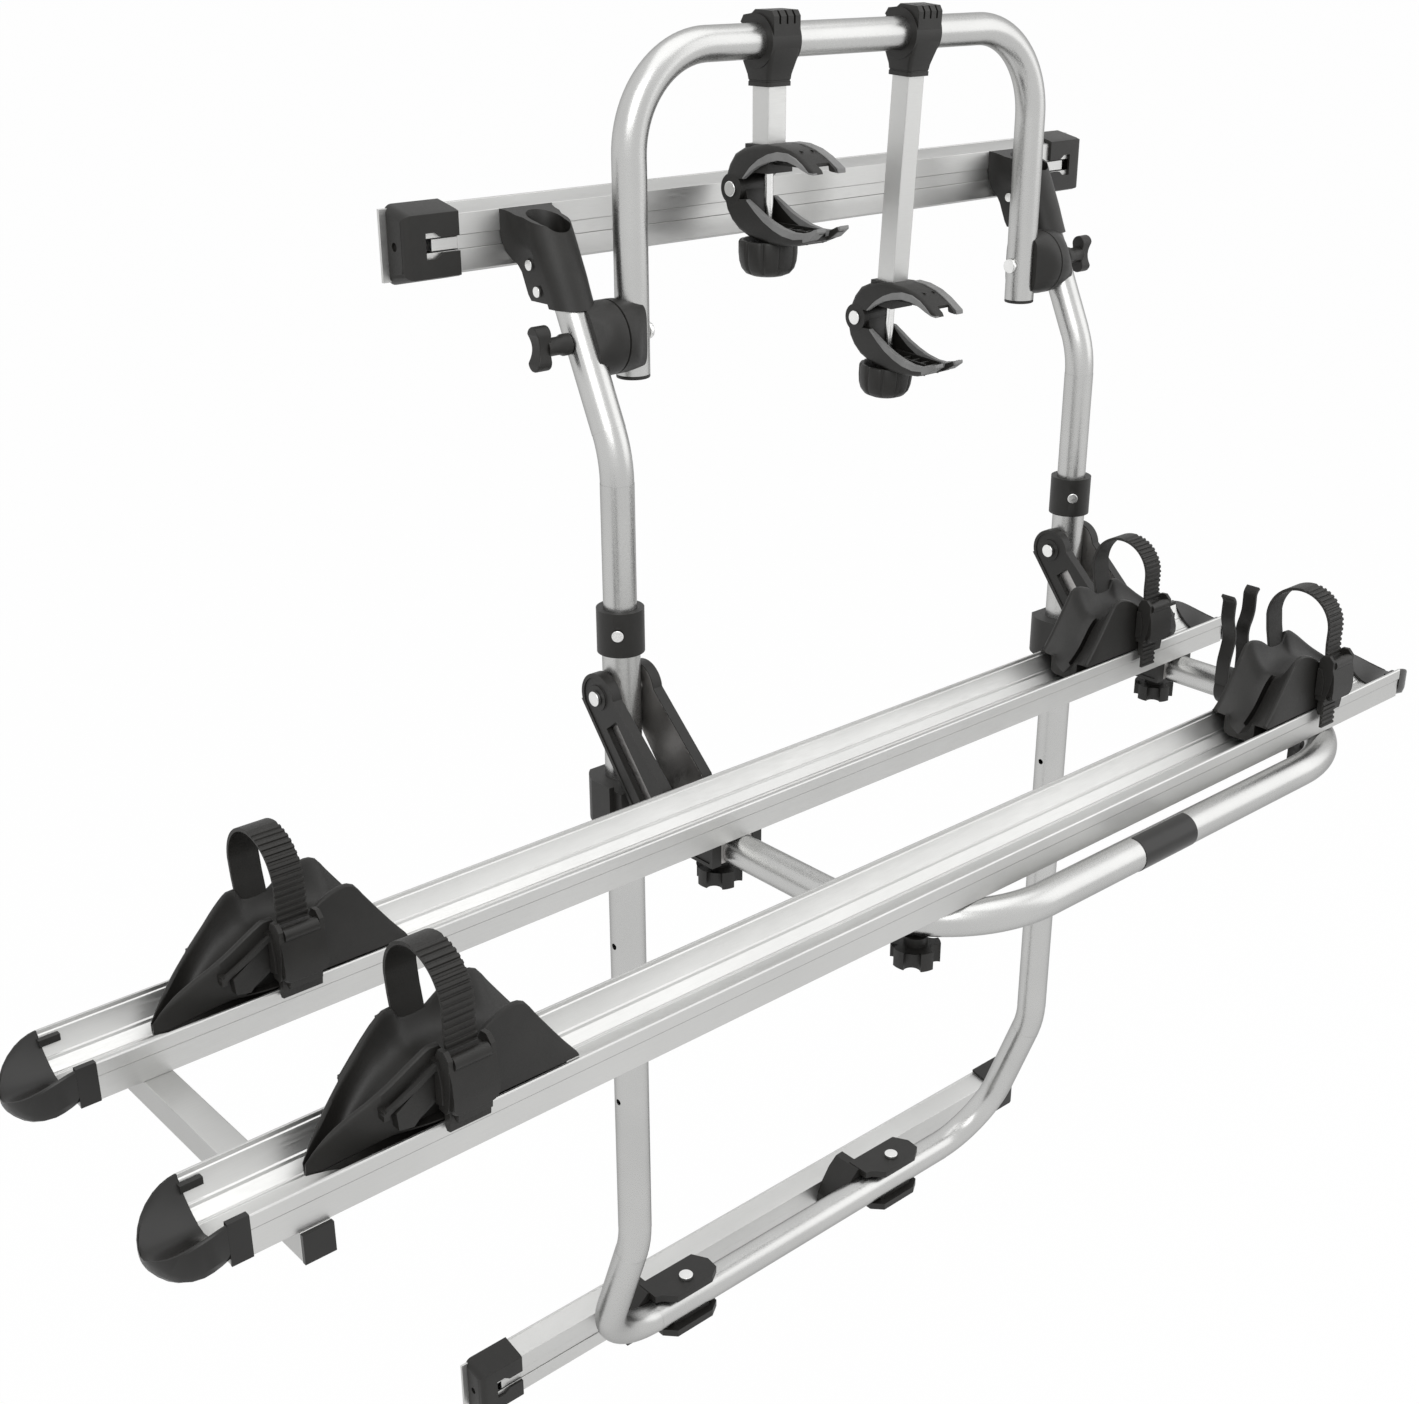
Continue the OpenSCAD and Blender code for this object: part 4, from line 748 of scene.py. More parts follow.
# Braces: outline of one side about its pivot (y, z), the round end about the pivot (radius and
# its two angles) and the pivot's place
BRACE_LINE = (
    (-82.3, -56.14), (-90.3, -80.2), (-143, -84.07), (-143, -102.04), (-56.06, -102.04),
    (-16.02, -52.04), (20.02, -6.98),
)
PIVOT_END = (20, -18.9, 173.7)
BRACE_PIVOT = (UPRIGHT_X, -134, 770)
# Rims of the covers, and what is cut out of them: growth of the outline, start and end across
RIM = (0.9, 16.8, 26.5)
RIM_CUTS = ((0.06, 10, 25.4), (-2.4, 20, 30))


def widened(outline, amount):
    """A closed counterclockwise outline moved outward, with its corners kept."""
    out = []
    for i, point in enumerate(outline):
        point = Vector(point)
        before = (point - Vector(outline[i - 1])).normalized()
        after = (Vector(outline[(i + 1) % len(outline)]) - point).normalized()
        normal = Vector((before.y + after.y, -before.x - after.x)).normalized()
        out.append(point + normal * amount / max(0.5, normal.dot(Vector((before.y, -before.x)))))
    return [tuple(p) for p in out]


class RACK_OT_braces(RackOperator):
    """Raised rims of the braces' covers, which lap over the edges of the steel plates"""

    bl_idname = "rack.braces"
    bl_label = "Brace rims"

    def build(self, look, sizes):
        radius, start, end = PIVOT_END
        line = list(BRACE_LINE) + arc((0, 0), radius, start, end, 24)
        x, y, z = BRACE_PIVOT
        parts = []
        for side in SIDES:
            for face in SIDES:
                rim, *cuts = [slab(widened(line, a), b, c, "X") for a, b, c in (RIM, *RIM_CUTS)]
                for cut in cuts:
                    rim = carved(rim, cut)
                place = Matrix.Translation((side * x, y, z)) @ Matrix.Diagonal((face, 1, 1, 1))
                bmesh.ops.transform(rim, matrix=place, verts=rim.verts)
                parts.append(rim)
        piece("brace_cover_rims", joined(parts), "platform", "moulded_plastic", [], 0.3, 30)


# Badge: gap to its tube, and where it starts and ends round the tube, in degrees
BADGE_GAP = 0.05
BADGE_START = 80
BADGE_END = 265


class RACK_OT_badge(RackOperator):
    """Plain black badge wrapped round the platform's front tube"""

    bl_idname = "rack.badge"
    bl_label = "Badge"

    def build(self, look, sizes):
        low, high = low_high("platform_tube")
        radius = (high.z - low.z) / 2
        centre = (low.y + radius, (low.z + high.z) / 2)
        thick = sizes.badge_thickness / MM
        start, length = sizes.badge_start / MM, sizes.badge_length / MM
        outer = arc(centre, radius + BADGE_GAP + thick, BADGE_START, BADGE_END, 40)
        inner = arc(centre, radius + BADGE_GAP, BADGE_END, BADGE_START, 40)
        band = slab(outer + inner, start - length, start, "X")
        piece("badge", band, "platform", "smooth_plastic", round_edge=0.12)


# Swivels between the leaning tubes and the loop's legs: distance from the seam, half depth,
# half height and squareness of each section
SWIVEL_OUTER = (
    (0.2, 28.8, 28.8, 2), (0.9, 30, 30, 2), (6, 30, 30, 2), (11, 29, 29.2, 2.05),
    (16, 26.6, 27.6, 2.2), (20, 23.4, 26.4, 2.6), (23, 20.4, 25.6, 3.2), (25.3, 18.4, 25, 4),
)
SWIVEL_INNER = (
    (0.2, 28.8, 28.8, 2), (0.9, 30, 30, 2), (5, 30, 30, 2), (10, 28.4, 29.4, 2.3),
    (15, 25.2, 28.2, 2.8), (20, 21.8, 27, 3.6), (25.3, 19, 25.6, 5),
)
SWIVEL_POINTS = 56
SEAM_X = 267.5
SWIVEL_BORE = 14.15
# T-knobs: profile of the stem and where it starts, span of the head, height and radius of its
# lobes, one side of its waist, and the drum that dishes it (place and radius)
KNOB_STEM = ((0, 0), (8.6, 0), (8.6, 6), (7.2, 9), (7.2, 19), (8.4, 23), (0, 23))
KNOB_STEM_X = 307.4
KNOB_HEAD = (328, 341.5)
KNOB_LOBE = (10.6, 7.2)
KNOB_WAIST = ((6, 4), (5.7, 0), (6, -4))
KNOB_DISH = (362, 23.5)


def swelled(x, half_y, half_z, power):
    """A closed section between a circle and a rounded rectangle, square to X."""
    ring = []
    for i in range(SWIVEL_POINTS):
        turn = math.tau * i / SWIVEL_POINTS
        c, s = math.cos(turn), math.sin(turn)
        y = half_y * math.copysign(abs(c) ** (2 / power), c)
        z = half_z * math.copysign(abs(s) ** (2 / power), s)
        ring.append((x, y, z))
    return ring


class RACK_OT_swivels(RackOperator):
    """Domed swivel halves, and the upright T-knobs that lock them"""

    bl_idname = "rack.swivels"
    bl_label = "Swivels"

    def build(self, look, sizes):
        outer = [self.half(side, SWIVEL_OUTER, 1, UPRIGHT_X, TILT) for side in SIDES]
        inner = [self.half(side, SWIVEL_INNER, -1, LOOP_LEG_X, 0) for side in SIDES]
        place = Matrix.Translation(SWIVEL_SPOT)
        piece(
            "swivel_outer_domes", joined(outer), "upper_section", "moulded_plastic",
            ["swivel_outer_halves"], 0.5, 35, place,
        )
        piece(
            "swivel_inner_domes", joined(inner), "arm_loop", "moulded_plastic",
            ["swivel_inner_halves"], 0.5, 35, place,
        )
        for side, name in zip(SIDES, ("left", "right")):
            node = "swivel_knob_" + name
            piece(
                node + "_tee", self.tee(), name + "_swivel_knob", "moulded_plastic",
                [node], 1.1, 32, place @ Matrix.Diagonal((side, 1, 1, 1)),
            )

    def half(self, side, rows, way, tube_x, lean):
        """A half that grows one way from the seam, bored for its tube."""
        bm = lofted([swelled(SEAM_X + way * d, y, z, power) for d, y, z, power in rows])
        leaned(bm, lean)
        bm = carved(bm, leaning_barrel((tube_x, 0, 0), SWIVEL_BORE, 120, 64, lean))
        return flipped(bm) if side < 0 else bm

    def tee(self):
        """Stem and a bow-tie head across it, along +X from the leaning tube."""
        stem = turned(KNOB_STEM, (KNOB_STEM_X, 0, 0), "X", 40)
        height, radius = KNOB_LOBE
        outline = arc((0, height), radius, 200, -20, 14) + list(KNOB_WAIST)
        outline += arc((0, -height), radius, 20, -200, 14) + [(-y, -z) for y, z in KNOB_WAIST]
        dish_x, dish_radius = KNOB_DISH
        dish = barrel((dish_x, 0, 0), "Y", dish_radius, 60, 64)
        return joined([stem, carved(slab(outline, *KNOB_HEAD, "X"), dish)])


# Hoods of the upper brackets: height, half width behind the tube and at the back, back edge, reach
HOOD_ROWS = (
    (1081, 7, 7, -37, 18.1), (1086, 8, 8, -34.5, 18.2), (1095, 8, 8, -30.5, 18.5),
    (1103, 8, 8.4, -27.5, 18.9), (1109, 8.2, 11, -26, 19), (1115, 9.5, 17, -25.2, 19),
    (1121, 13, 22, -25.2, 19), (1130, 18, 25, -25.2, 19), (1138, 21, 26, -25.2, 18.9),
    (1157, 22, 26, -25.2, 18.6),
)
# Side of a hood towards its back: share of the way, of the narrowing and of the flare
HOOD_SIDE = ((0.15, 0, 0), (0.38, 1, 0), (0.62, 1, 0), (0.85, 1, 0.35), (1, 1, 1))
# Plane of a hood's sloping top (a point and the way out), its bore (radius, height) for the tube,
# the well above the tube (radius, Y of its two ends, heights), and the foot under the rail
HOOD_TOP = ((0, -25, 1154), (0, -0.25, 1))
HOOD_BORE = (14.4, 1120)
WELL_RADIUS = 13.5
WELL_ENDS = (-61, -50)
WELL_SPAN = (1128, 1170)
HOOD_FOOT = ((-20, -25.6, 1126.8), (20, -14, 1137.2))
# Where the tubes end inside the hoods, and the plugs above them: radius, thickness and height
TUBE_TOP = 1119
TUBE_PLUG = (14.2, 3, TUBE_TOP + 4)


def lean_y(z):
    """Where the leaning tubes' axis is at a height."""
    return SWIVEL_SPOT.y + (z - SWIVEL_SPOT.z) * math.tan(TILT)


class RACK_OT_brackets(RackOperator):
    """Hooded brackets that carry the upper rail, open above the tubes' ends"""

    bl_idname = "rack.brackets"
    bl_label = "Upper brackets"

    def build(self, look, sizes):
        hoods = []
        for side in SIDES:
            hood = self.hood()
            bmesh.ops.translate(hood, vec=(side * UPRIGHT_X, 0, 0), verts=hood.verts)
            hoods.append(hood)
        piece(
            "upper_bracket_hoods", joined(hoods), "upper_section", "moulded_plastic",
            ["upper_brackets"], 1.0, 32,
        )
        tubes = cad_copy("upper_tubes")
        cut_off(tubes, (0, lean_y(TUBE_TOP), TUBE_TOP), (0, math.sin(TILT), math.cos(TILT)))
        bmesh.ops.holes_fill(tubes, edges=[e for e in tubes.edges if e.is_boundary])
        piece(
            "upper_tubes_cut", tubes, "upper_section", "tube_aluminium", ["upper_tubes"], 0, 30
        )

    def hood(self):
        """One hood about the plane of its tube, with the plug and the foot."""
        hood = lofted([self.section(*values) for values in HOOD_ROWS])
        bmesh.ops.edgeloop_fill(hood, edges=cut_off(hood, *HOOD_TOP))
        radius, z = HOOD_BORE
        hood = carved(hood, leaning_barrel((0, lean_y(z), z), radius, 150, 48, TILT))
        front, back = WELL_ENDS
        mouth = arc((0, front), WELL_RADIUS, 180, 360, 20) + arc((0, back), WELL_RADIUS, 0, 180, 20)
        hood = carved(hood, slab(mouth, *WELL_SPAN, "Z"))
        radius, thick, z = TUBE_PLUG
        plug = leaning_barrel((0, lean_y(z), z), radius, thick, 40, TILT)
        return joined([hood, plug, brick(*HOOD_FOOT)])

    def section(self, z, middle, back, back_y, reach):
        """One closed section of a hood, from the round front to the flat back."""
        y = lean_y(z)
        front = [(a, b, z) for a, b in arc((0, y), reach, 180, 360, 25)]
        right = []
        for run, narrow, wide in HOOD_SIDE:
            half = reach + (middle - reach) * narrow + (back - middle) * wide
            right.append((half, y + (back_y - y) * run, z))
        return front + right + [(-a, b, c) for a, b, c in reversed(right)]


# Clamp on the loop's bar: height, half width along the bar and half depth of the neck, and the
# radius of the neck's corners
NECK_ROWS = (
    (-2, 15.9, 20.6), (-8, 15.9, 20), (-14, 15.6, 18.2), (-20, 14.9, 15.8), (-26, 13.8, 13.8),
    (-30, 13.3, 13.3), (-30.4, 12.9, 12.9), (-31.2, 12.9, 12.9), (-31.6, 13.3, 13.3),
    (-35, 13.3, 13.3),
)
NECK_CORNER = 3.5
# Its ring (radius, length), its bore, its lip (outline, half length), and the grip grooves in the
# lip (outline, half width, places)
CLAMP_RING = (21, 32)
BAR_BORE = 14.05
LIP_LINE = (
    (-20.6, 4), (-20.6, 19), (-17.5, 23.4), (2, 24), (6, 21), (16, 19.5), (19.5, 14), (10, 8),
)
LIP_HALF = 14.6
GROOVE_LINE = ((-23, 13), (-19.2, 13), (-16.8, 21.8), (-7, 22.4), (-7, 26), (-23, 26))
GROOVE_HALF = 1
GROOVE_PLACES = (-8, 0, 8)


class RACK_OT_barclamps(RackOperator):
    """Clamps of the two arms on the loop's bar, with grip grooves on their lips"""

    bl_idname = "rack.barclamps"
    bl_label = "Bar clamps"

    def build(self, look, sizes):
        for arm, tilt in ARM_TILT.items():
            spot = (arm_x(arm), SWIVEL_SPOT.y, SWIVEL_SPOT.z + BAR_RISE)
            place = Matrix.Translation(spot) @ Matrix.Rotation(tilt, 4, "X")
            node = arm + "_bar_clamp"
            piece(
                node + "_moulding", self.clamp(), arm + "_arm", "moulded_plastic",
                [node], 0.9, 32, place,
            )

    def clamp(self):
        """One clamp about the bar's axis: ring, neck and grooved lip, all bored for the bar."""
        ring = barrel(CENTRE, "X", *CLAMP_RING, 72)
        neck = lofted([[(a, b, z) for a, b in self.corners(x, y)] for z, x, y in NECK_ROWS])
        lip = slab(LIP_LINE, -LIP_HALF, LIP_HALF, "X")
        for x in GROOVE_PLACES:
            lip = carved(lip, slab(GROOVE_LINE, x - GROOVE_HALF, x + GROOVE_HALF, "X"))
        parts = (ring, neck, lip)
        return joined([carved(part, barrel(CENTRE, "X", BAR_BORE, 60, 72)) for part in parts])

    def corners(self, half_x, half_y):
        """A rectangle with round corners."""
        r = NECK_CORNER
        out = []
        for cx, cy, start in ((1, 1, 0), (-1, 1, 90), (-1, -1, 180), (1, -1, 270)):
            out += arc((cx * (half_x - r), cy * (half_y - r)), r, start, start + 90, 6)
        return out


def arm_x(arm):
    """The middle of an arm along the wall, read from its pivot bolt."""
    low, high = low_high(arm + "_jaw_pins")
    return (low.x + high.x) / 2


# Wall rails: outline of a cap, where it starts and ends along the rail, its rounding, its inside
# and the thickness of its end, its notch from its start on, and its screw (radius, Y)
CAP_LINE = ((0.2, 31), (-24, 25.8), (-28, 24.4), (-28, -24.4), (-24, -25.8), (0.2, -31))
CAP_START = 359
CAP_END = 409
CAP_ROUND = 7
CAP_INSIDE = ((0.4, 28.4), (-25.2, 22.3), (-25.2, -22.3), (0.4, -28.4))
CAP_THICK = 9
CAP_NOTCH = (
    (-5, -5.8), (16, -5.8), (22, -10), (31, -10), (31, 10), (22, 10), (16, 5.8), (-5, 5.8),
)
CAP_SCREW = (3.4, -12)
# Strip in a rail's slot, and its tongues under the caps: half height and back of each, the face
# of both, and the length of a tongue
STRIP = (5.3, -21)
TONGUE = (4.6, -21.5)
STRIP_FACE = -24.1
TONGUE_LENGTH = 24


class RACK_OT_wallcaps(RackOperator):
    """Rounded caps of the wall rails, and the strips in the rails' slots"""

    bl_idname = "rack.wallcaps"
    bl_label = "Wall rail caps"

    def build(self, look, sizes):
        for name, body in (("lower", "wall_side"), ("upper", "upper_section")):
            low, high = low_high(name + "_wall_rail")
            place = Matrix.Translation((0, 0, (low.z + high.z) / 2))
            node = name + "_rail_caps"
            piece(
                node + "_moulding", joined([flipped(self.cap()), self.cap()]), body,
                "moulded_plastic", [node], 0.7, 32, place,
            )
            half, back = STRIP
            strip = brick((-CAP_START, STRIP_FACE, -half), (CAP_START, back, half))
            half, back = TONGUE
            for side in SIDES:
                near, far = sorted((side * CAP_START, side * (CAP_START + TONGUE_LENGTH)))
                block(strip, (near, STRIP_FACE, -half), (far, back, half))
            piece(name + "_slot_strip", strip, body, "rail_aluminium", [], 0.3, 32, place)

    def cap(self):
        """One cap along +X: a rounded shell, a notch that shows the strip, and a screw recess."""
        bm = slab(CAP_LINE, CAP_START, CAP_END, "X")
        rounded(bm, [e for e in bm.edges if self.at_end(e)], CAP_ROUND, 6)
        bm = carved(bm, slab(CAP_INSIDE, CAP_START - 5, CAP_END - CAP_THICK, "X"))
        bm = carved(bm, slab([(CAP_START + x, z) for x, z in CAP_NOTCH], -40, -15, "Y"))
        radius, y = CAP_SCREW
        return carved(bm, barrel((CAP_END, y, 0), "X", radius, 5, 32))

    def at_end(self, edge):
        """True for the edges of a cap's end, but not for the one at the wall."""
        ys = [v.co.y for v in edge.verts]
        return min(v.co.x for v in edge.verts) > CAP_END - 0.1 and max(ys) < 0.5 and min(ys) <= 0


# Profile of a wheel rail, right half from the middle of its floor to the middle of its trough
RAIL_HALF_LINE = (
    (0, -27), (29.7, -27), (29.9, -26.8), (29.9, -10.4), (30.75, -9.4), (30.75, -0.9), (30, 0),
    (28.4, 0), (27.7, -2.4), (26.7, -2.9), (24.4, -8.4), (19.8, -15.2), (18.5, -15.7),
    (17.6, -17.4), (10.6, -22.3), (9.3, -22.5), (8.6, -23.5), (0, -24.4),
)
# Caps of the wheel rails: distance from the rail's end, half width, rim, valley and underside
BOW_ROWS = (
    (0.3, 30.98, -0.1, -23.6, -27.2), (5, 30.98, -0.9, -22.4, -29.2), (10, 30.6, -2.5, -21.5, -31),
    (15, 29.4, -4.6, -20.9, -32.6), (21, 26.8, -7.9, -20.5, -33.4), (26, 23.2, -11.2, -20.3, -33.2),
    (30, 18.9, -14.2, -20.2, -32), (33.5, 13.2, -17, -20.2, -30), (35.6, 8, -18.9, -20.3, -27.6),
    (36.6, 3.4, -20, -20.8, -25),
)
# Inside of a cap (shares of the half width), and the blocks that sit on and in the rail
BOW_SHARES = (0.97, 0.85, 0.66, 0.44, 0.22)
BOW_BLOCKS = (
    ((-13, 29.5, -27.1), (0.28, 30.98, -0.1)),
    ((-12.9, 26.8, -3.5), (0.2, 30.93, 0.8)),
    ((-12, -25.4, -8.5), (2, -21.5, -3.6)),
)


class RACK_OT_rails(RackOperator):
    """Wheel rails with their drawn lines, bow-shaped caps and the plugs of the bars"""

    bl_idname = "rack.rails"
    bl_label = "Wheel rails"

    def build(self, look, sizes):
        half = list(RAIL_HALF_LINE)
        outline = half + [(-y, z) for y, z in reversed(half[1:-1])]
        caps = []
        for name, y in (("front_wheel_rail", FRONT_Y), ("rear_wheel_rail", REAR_Y)):
            rail = slab(outline, RAIL_LOW.x, RAIL_HIGH.x, "X")
            place = Matrix.Translation((0, y, PLATFORM_Z))
            piece(name + "_profile", rail, "platform", "rail_aluminium", [name], 0.25, 25, place)
            for side, end in zip(SIDES, (RAIL_LOW.x, RAIL_HIGH.x)):
                bow = self.bow()
                spot = Matrix.Translation((end, y, PLATFORM_Z))
                turn = spot @ Matrix.Diagonal((side, side, 1, 1))
                bmesh.ops.transform(bow, matrix=turn, verts=bow.verts)
                caps.append(bow)
        caps.append(self.plugs())
        piece(
            "platform_end_caps_moulded", joined(caps), "platform", "smooth_plastic",
            ["platform_end_caps"], 0.8, 30,
        )

    def plugs(self):
        """The modelled end caps without the four bows: what stays are the plugs of the bars."""
        bm = cad_copy("platform_end_caps")
        floor = RAIL_LOW.z + 0.5
        bows = [v for v in bm.verts if v.co.z > floor or not RAIL_LOW.x <= v.co.x <= RAIL_HIGH.x]
        faces = {f for v in bows for f in linked_faces(v)}
        bmesh.ops.delete(bm, geom=list(faces), context="FACES")
        return bm

    def bow(self):
        """One cap along +X from the end of its rail."""
        bm = lofted([self.section(*values) for values in BOW_ROWS])
        for low, high in BOW_BLOCKS:
            block(bm, low, high)
        return bm

    def section(self, x, half, rim, valley, low):
        """One closed section of a cap, from the keel over the rim to the valley."""
        wall = min(2.6, half * 0.3)
        inner = half - wall
        side = [
            (0, low),
            (half * 0.45, low + 0.3),
            (half * 0.78, low + 1.6),
            (half * 0.95, low + 4.4),
            (half, min(low + 9, rim - 2)),
            (half, rim - 0.9),
            (half - wall * 0.3, rim),
            (half - wall * 0.8, rim - 0.1),
        ]
        side += [(inner * k, valley + (rim - 1 - valley) * k ** 1.7) for k in BOW_SHARES]
        ring = [(x, a, b) for a, b in side] + [(x, 0, valley)]
        return ring + [(x, -a, b) for a, b in reversed(side[1:])]


# Storage clip: radius and bore of its ring, width and thickness of its prongs
CLIP_RADIUS = 18
CLIP_BORE = 14.1
CLIP_WIDTH = 14
PRONG_THICK = 3.4
# Height above the tube's axis and half distance of the prongs' middle lines
PRONG_LINE = (
    (6, 16.2), (18, 16.2), (30, 15.6), (42, 12.6), (52, 10.6), (60, 11.6), (68, 15.2), (76, 17.2),
    (86, 17.1), (90, 16.8), (94, 18.4), (97, 21.5),
)


class RACK_OT_clip(RackOperator):
    """Storage clip: a ring on the platform's tube with two curved prongs"""

    bl_idname = "rack.clip"
    bl_label = "Storage clip"

    def build(self, look, sizes):
        low, high = low_high("storage_clip")
        middle = (low + high) / 2
        place = Matrix.Translation((middle.x, middle.y, low.z + CLIP_RADIUS))
        ring = barrel(CENTRE, "Y", CLIP_RADIUS, CLIP_WIDTH, 64)
        parts = [carved(ring, barrel(CENTRE, "Y", CLIP_BORE, 30, 64))]
        heights = spread(PRONG_LINE[0][0], PRONG_LINE[-1][0], 40)
        fine = [(z, *row(PRONG_LINE, z)) for z in heights]
        for side in SIDES:
            line = [(side * x, 0, z) for z, x in fine]
            parts.append(rod_between(line, CLIP_WIDTH, PRONG_THICK))
        piece(
            "storage_clip_prongs", joined(parts), "platform", "moulded_plastic",
            ["storage_clip"], 0.8, 32, place,
        )


def rod_between(points, width, height):
    """A new mesh: a bar of a rectangular section through points in the (x, z) plane."""
    sections = []
    across = Vector((0, width / 2, 0))
    for i, point in enumerate(points):
        before, after = points[max(i - 1, 0)], points[min(i + 1, len(points) - 1)]
        run = Vector((after[0] - before[0], 0, after[2] - before[2])).normalized()
        rise = Vector((-run.z, 0, run.x)) * height / 2
        centre = Vector(point)
        corners = (rise + across, rise - across, -rise - across, -rise + across)
        sections.append([centre + corner for corner in corners])
    return lofted(sections)


# Wheel holders
HOLDERS = ("front_left", "front_right", "rear_left", "rear_right")
# Rows of a holder: along the length from the inner end, the height of the walls above the rail,
# the height of the valley between them, the half width, and how steeply the valley's sides rise
HOLDER_ROWS = (
    (0, 2.9, -13, 28.6, 0.66), (10, 15.5, -8, 28.6, 0.66), (23, 33.5, 2, 28.6, 0.68),
    (30, 43.5, 11, 28.6, 0.72), (37, 53.5, 21, 28.6, 0.85), (45, 56, 28.5, 28.6, 1.2),
    (53, 54.5, 31, 28.6, 2.0), (62, 51, 31, 28.6, 2.3), (70, 46, 31, 28.6, 2.5),
    (76, 42.5, 31, 28.6, 2.6), (90, 42, 30.5, 28.6, 2.6), (94, 43.5, 30, 28.6, 2.6),
    (98, 51.5, 29.5, 28.5, 2.6), (104, 51.5, 28, 27.9, 2.6), (110, 48, 25, 27, 2.5),
    (118, 42, 22, 25.3, 2.4), (129, 33, 15, 22.2, 2.3), (140, 25, 7, 18.8, 2.2),
    (150, 18, -2, 14.5, 2.1), (158, 11.5, -7, 10.8, 2.0), (165, 5, -10, 7.2, 1.9),
    (171, -1.5, -12, 4.2, 1.8), (176, -8, -14, 1.8, 1.6),
)
HOLDER_STATIONS = (
    0, 5, 10, 16, 23, 26, 30, 33, 37, 41, 45, 49, 53, 57, 62, 66, 70, 73, 76, 83, 90, 94, 96, 98,
    101, 104, 107, 110, 114, 118, 123, 129, 134, 140, 145, 150, 154, 158, 162, 165, 168, 171, 174,
    176,
)
VALLEY_SHARES = (0.97, 0.9, 0.8, 0.68, 0.54, 0.38, 0.2)
# What is cut out of a holder: the window beside the buckle, and the slit under the strap
WINDOW_LINE = ((93, 2), (121, 2), (112, 8), (104, 14), (97, 17), (93, 17))
WINDOW_SPAN = (-45, -21)
SLIT_LINE = ((10, -11), (22, -7), (36, 8), (47, 21), (47, 60), (30, 60), (10, 20))
SLIT_HALF = 2.2
# Side grips: middle line of the bar, distance, width and height of the bar, its two feet, and the
# panel behind it
GRIP_LINE = ((101, 43), (108, 38.5), (116, 32.5), (126, 25), (136, 17.5))
GRIP_BAR = (3.6, 3, 3.4)
GRIP_FEET = ((102.5, 42), (134.5, 18.5))
GRIP_PANEL = ((101, 22), (103, 37), (130, 19), (129, 7), (119, 5))
PANEL_PLACE = 115
# Seats of the strap in the walls: near and far across, along, and heights
SEAT = ((26, 29), (74, 98), (16, 41))


def holder_place(tag):
    """The matrix that sets a holder, drawn along, across and above the rail, on its rail's end."""
    y = FRONT_Y if tag.startswith("front") else REAR_Y
    low, high = low_high("wheel_cup_" + tag)
    if tag.endswith("left"):
        return Matrix.Translation((high.x, y, PLATFORM_Z)) @ Matrix.Diagonal((-1, 1, 1, 1))
    return Matrix.Translation((low.x, y, PLATFORM_Z))


def holder_section(u):
    """One closed section of a holder at a distance from its inner end."""
    top, valley, half, power = row(HOLDER_ROWS, u)
    rim = min(4.2, half * 0.42)
    lean = min(1.6, half * 0.1)
    valley = min(valley, top - 1.2)
    keel = min(15.0, half - 0.4)
    base = 0.25 if half > 22 else max(-15.0, 0.25 - (22 - half) * 0.9)
    base = min(base, top - 2.5)
    low = min(-17.0 + max(0.0, u - 150) * 0.02, base - 0.6)
    side = [
        (0, low),
        (keel * 0.6, low),
        (keel * 0.92, low + 1.6),
        (keel, min(low + 5, base - 0.3)),
        (keel + 0.02, base - 0.05),
        (half - 0.9, base),
        (half, base + 0.9),
        (half - lean * 0.35, base + (top - base) * 0.4),
        (half - lean * 0.8, base + (top - base) * 0.8),
        (half - lean, top - 1.4),
        (half - lean - rim * 0.18, top - 0.35),
        (half - lean - rim * 0.5, top),
        (half - lean - rim * 0.82, top - 0.35),
        (half - lean - rim, top - 1.5),
    ]
    inner = half - lean - rim
    for share in VALLEY_SHARES:
        height = valley + (top - 1.5 - valley) * share ** (power * 1.6)
        if inner * share > keel - 3:
            height = max(height, base + 0.5)
        side.append((inner * share, height))
    ring = [(u, v, h) for v, h in side] + [(u, 0, valley)]
    return ring + [(u, -v, h) for v, h in reversed(side[1:])]


def wall_point(u, h, out):
    """A point beside a holder's front wall."""
    half = row(HOLDER_ROWS, u)[2]
    return (u, -half - out, h)


def holder_mesh():
    """A whole holder: the shell with its openings, the side grips and the strap's seats."""
    shell = lofted([holder_section(u) for u in HOLDER_STATIONS])
    shell = carved(shell, slab(WINDOW_LINE, *WINDOW_SPAN, "Y"))
    shell = carved(shell, slab(SLIT_LINE, -SLIT_HALF, SLIT_HALF, "Y"))
    parts = [shell]
    for side in SIDES:
        grip = grip_mesh()
        if side > 0:
            bmesh.ops.scale(grip, vec=(1, -1, 1), verts=grip.verts)
        parts.append(grip)
    seats = bmesh.new()
    across, along, heights = SEAT
    for side in SIDES:
        low, high = sorted(side * y for y in across)
        block(seats, (along[0], low, heights[0]), (along[1], high, heights[1]))
    parts.append(seats)
    return joined(parts)


def grip_mesh():
    """The grip on a holder's front wall: a bar on two feet, and the panel behind it."""
    out, width, height = GRIP_BAR
    bm = rod_between([wall_point(u, h, out) for u, h in GRIP_LINE], width, height)
    for u, h in GRIP_FEET:
        y = wall_point(u, h, 0)[1]
        block(bm, (u - 2, y - 4.8, h - 4), (u + 2, y + 3, h + 2.4))
    half = row(HOLDER_ROWS, PANEL_PLACE)[2]
    prism(bm, GRIP_PANEL, -half - 2.4, -half + 5, "Y")
    return bm


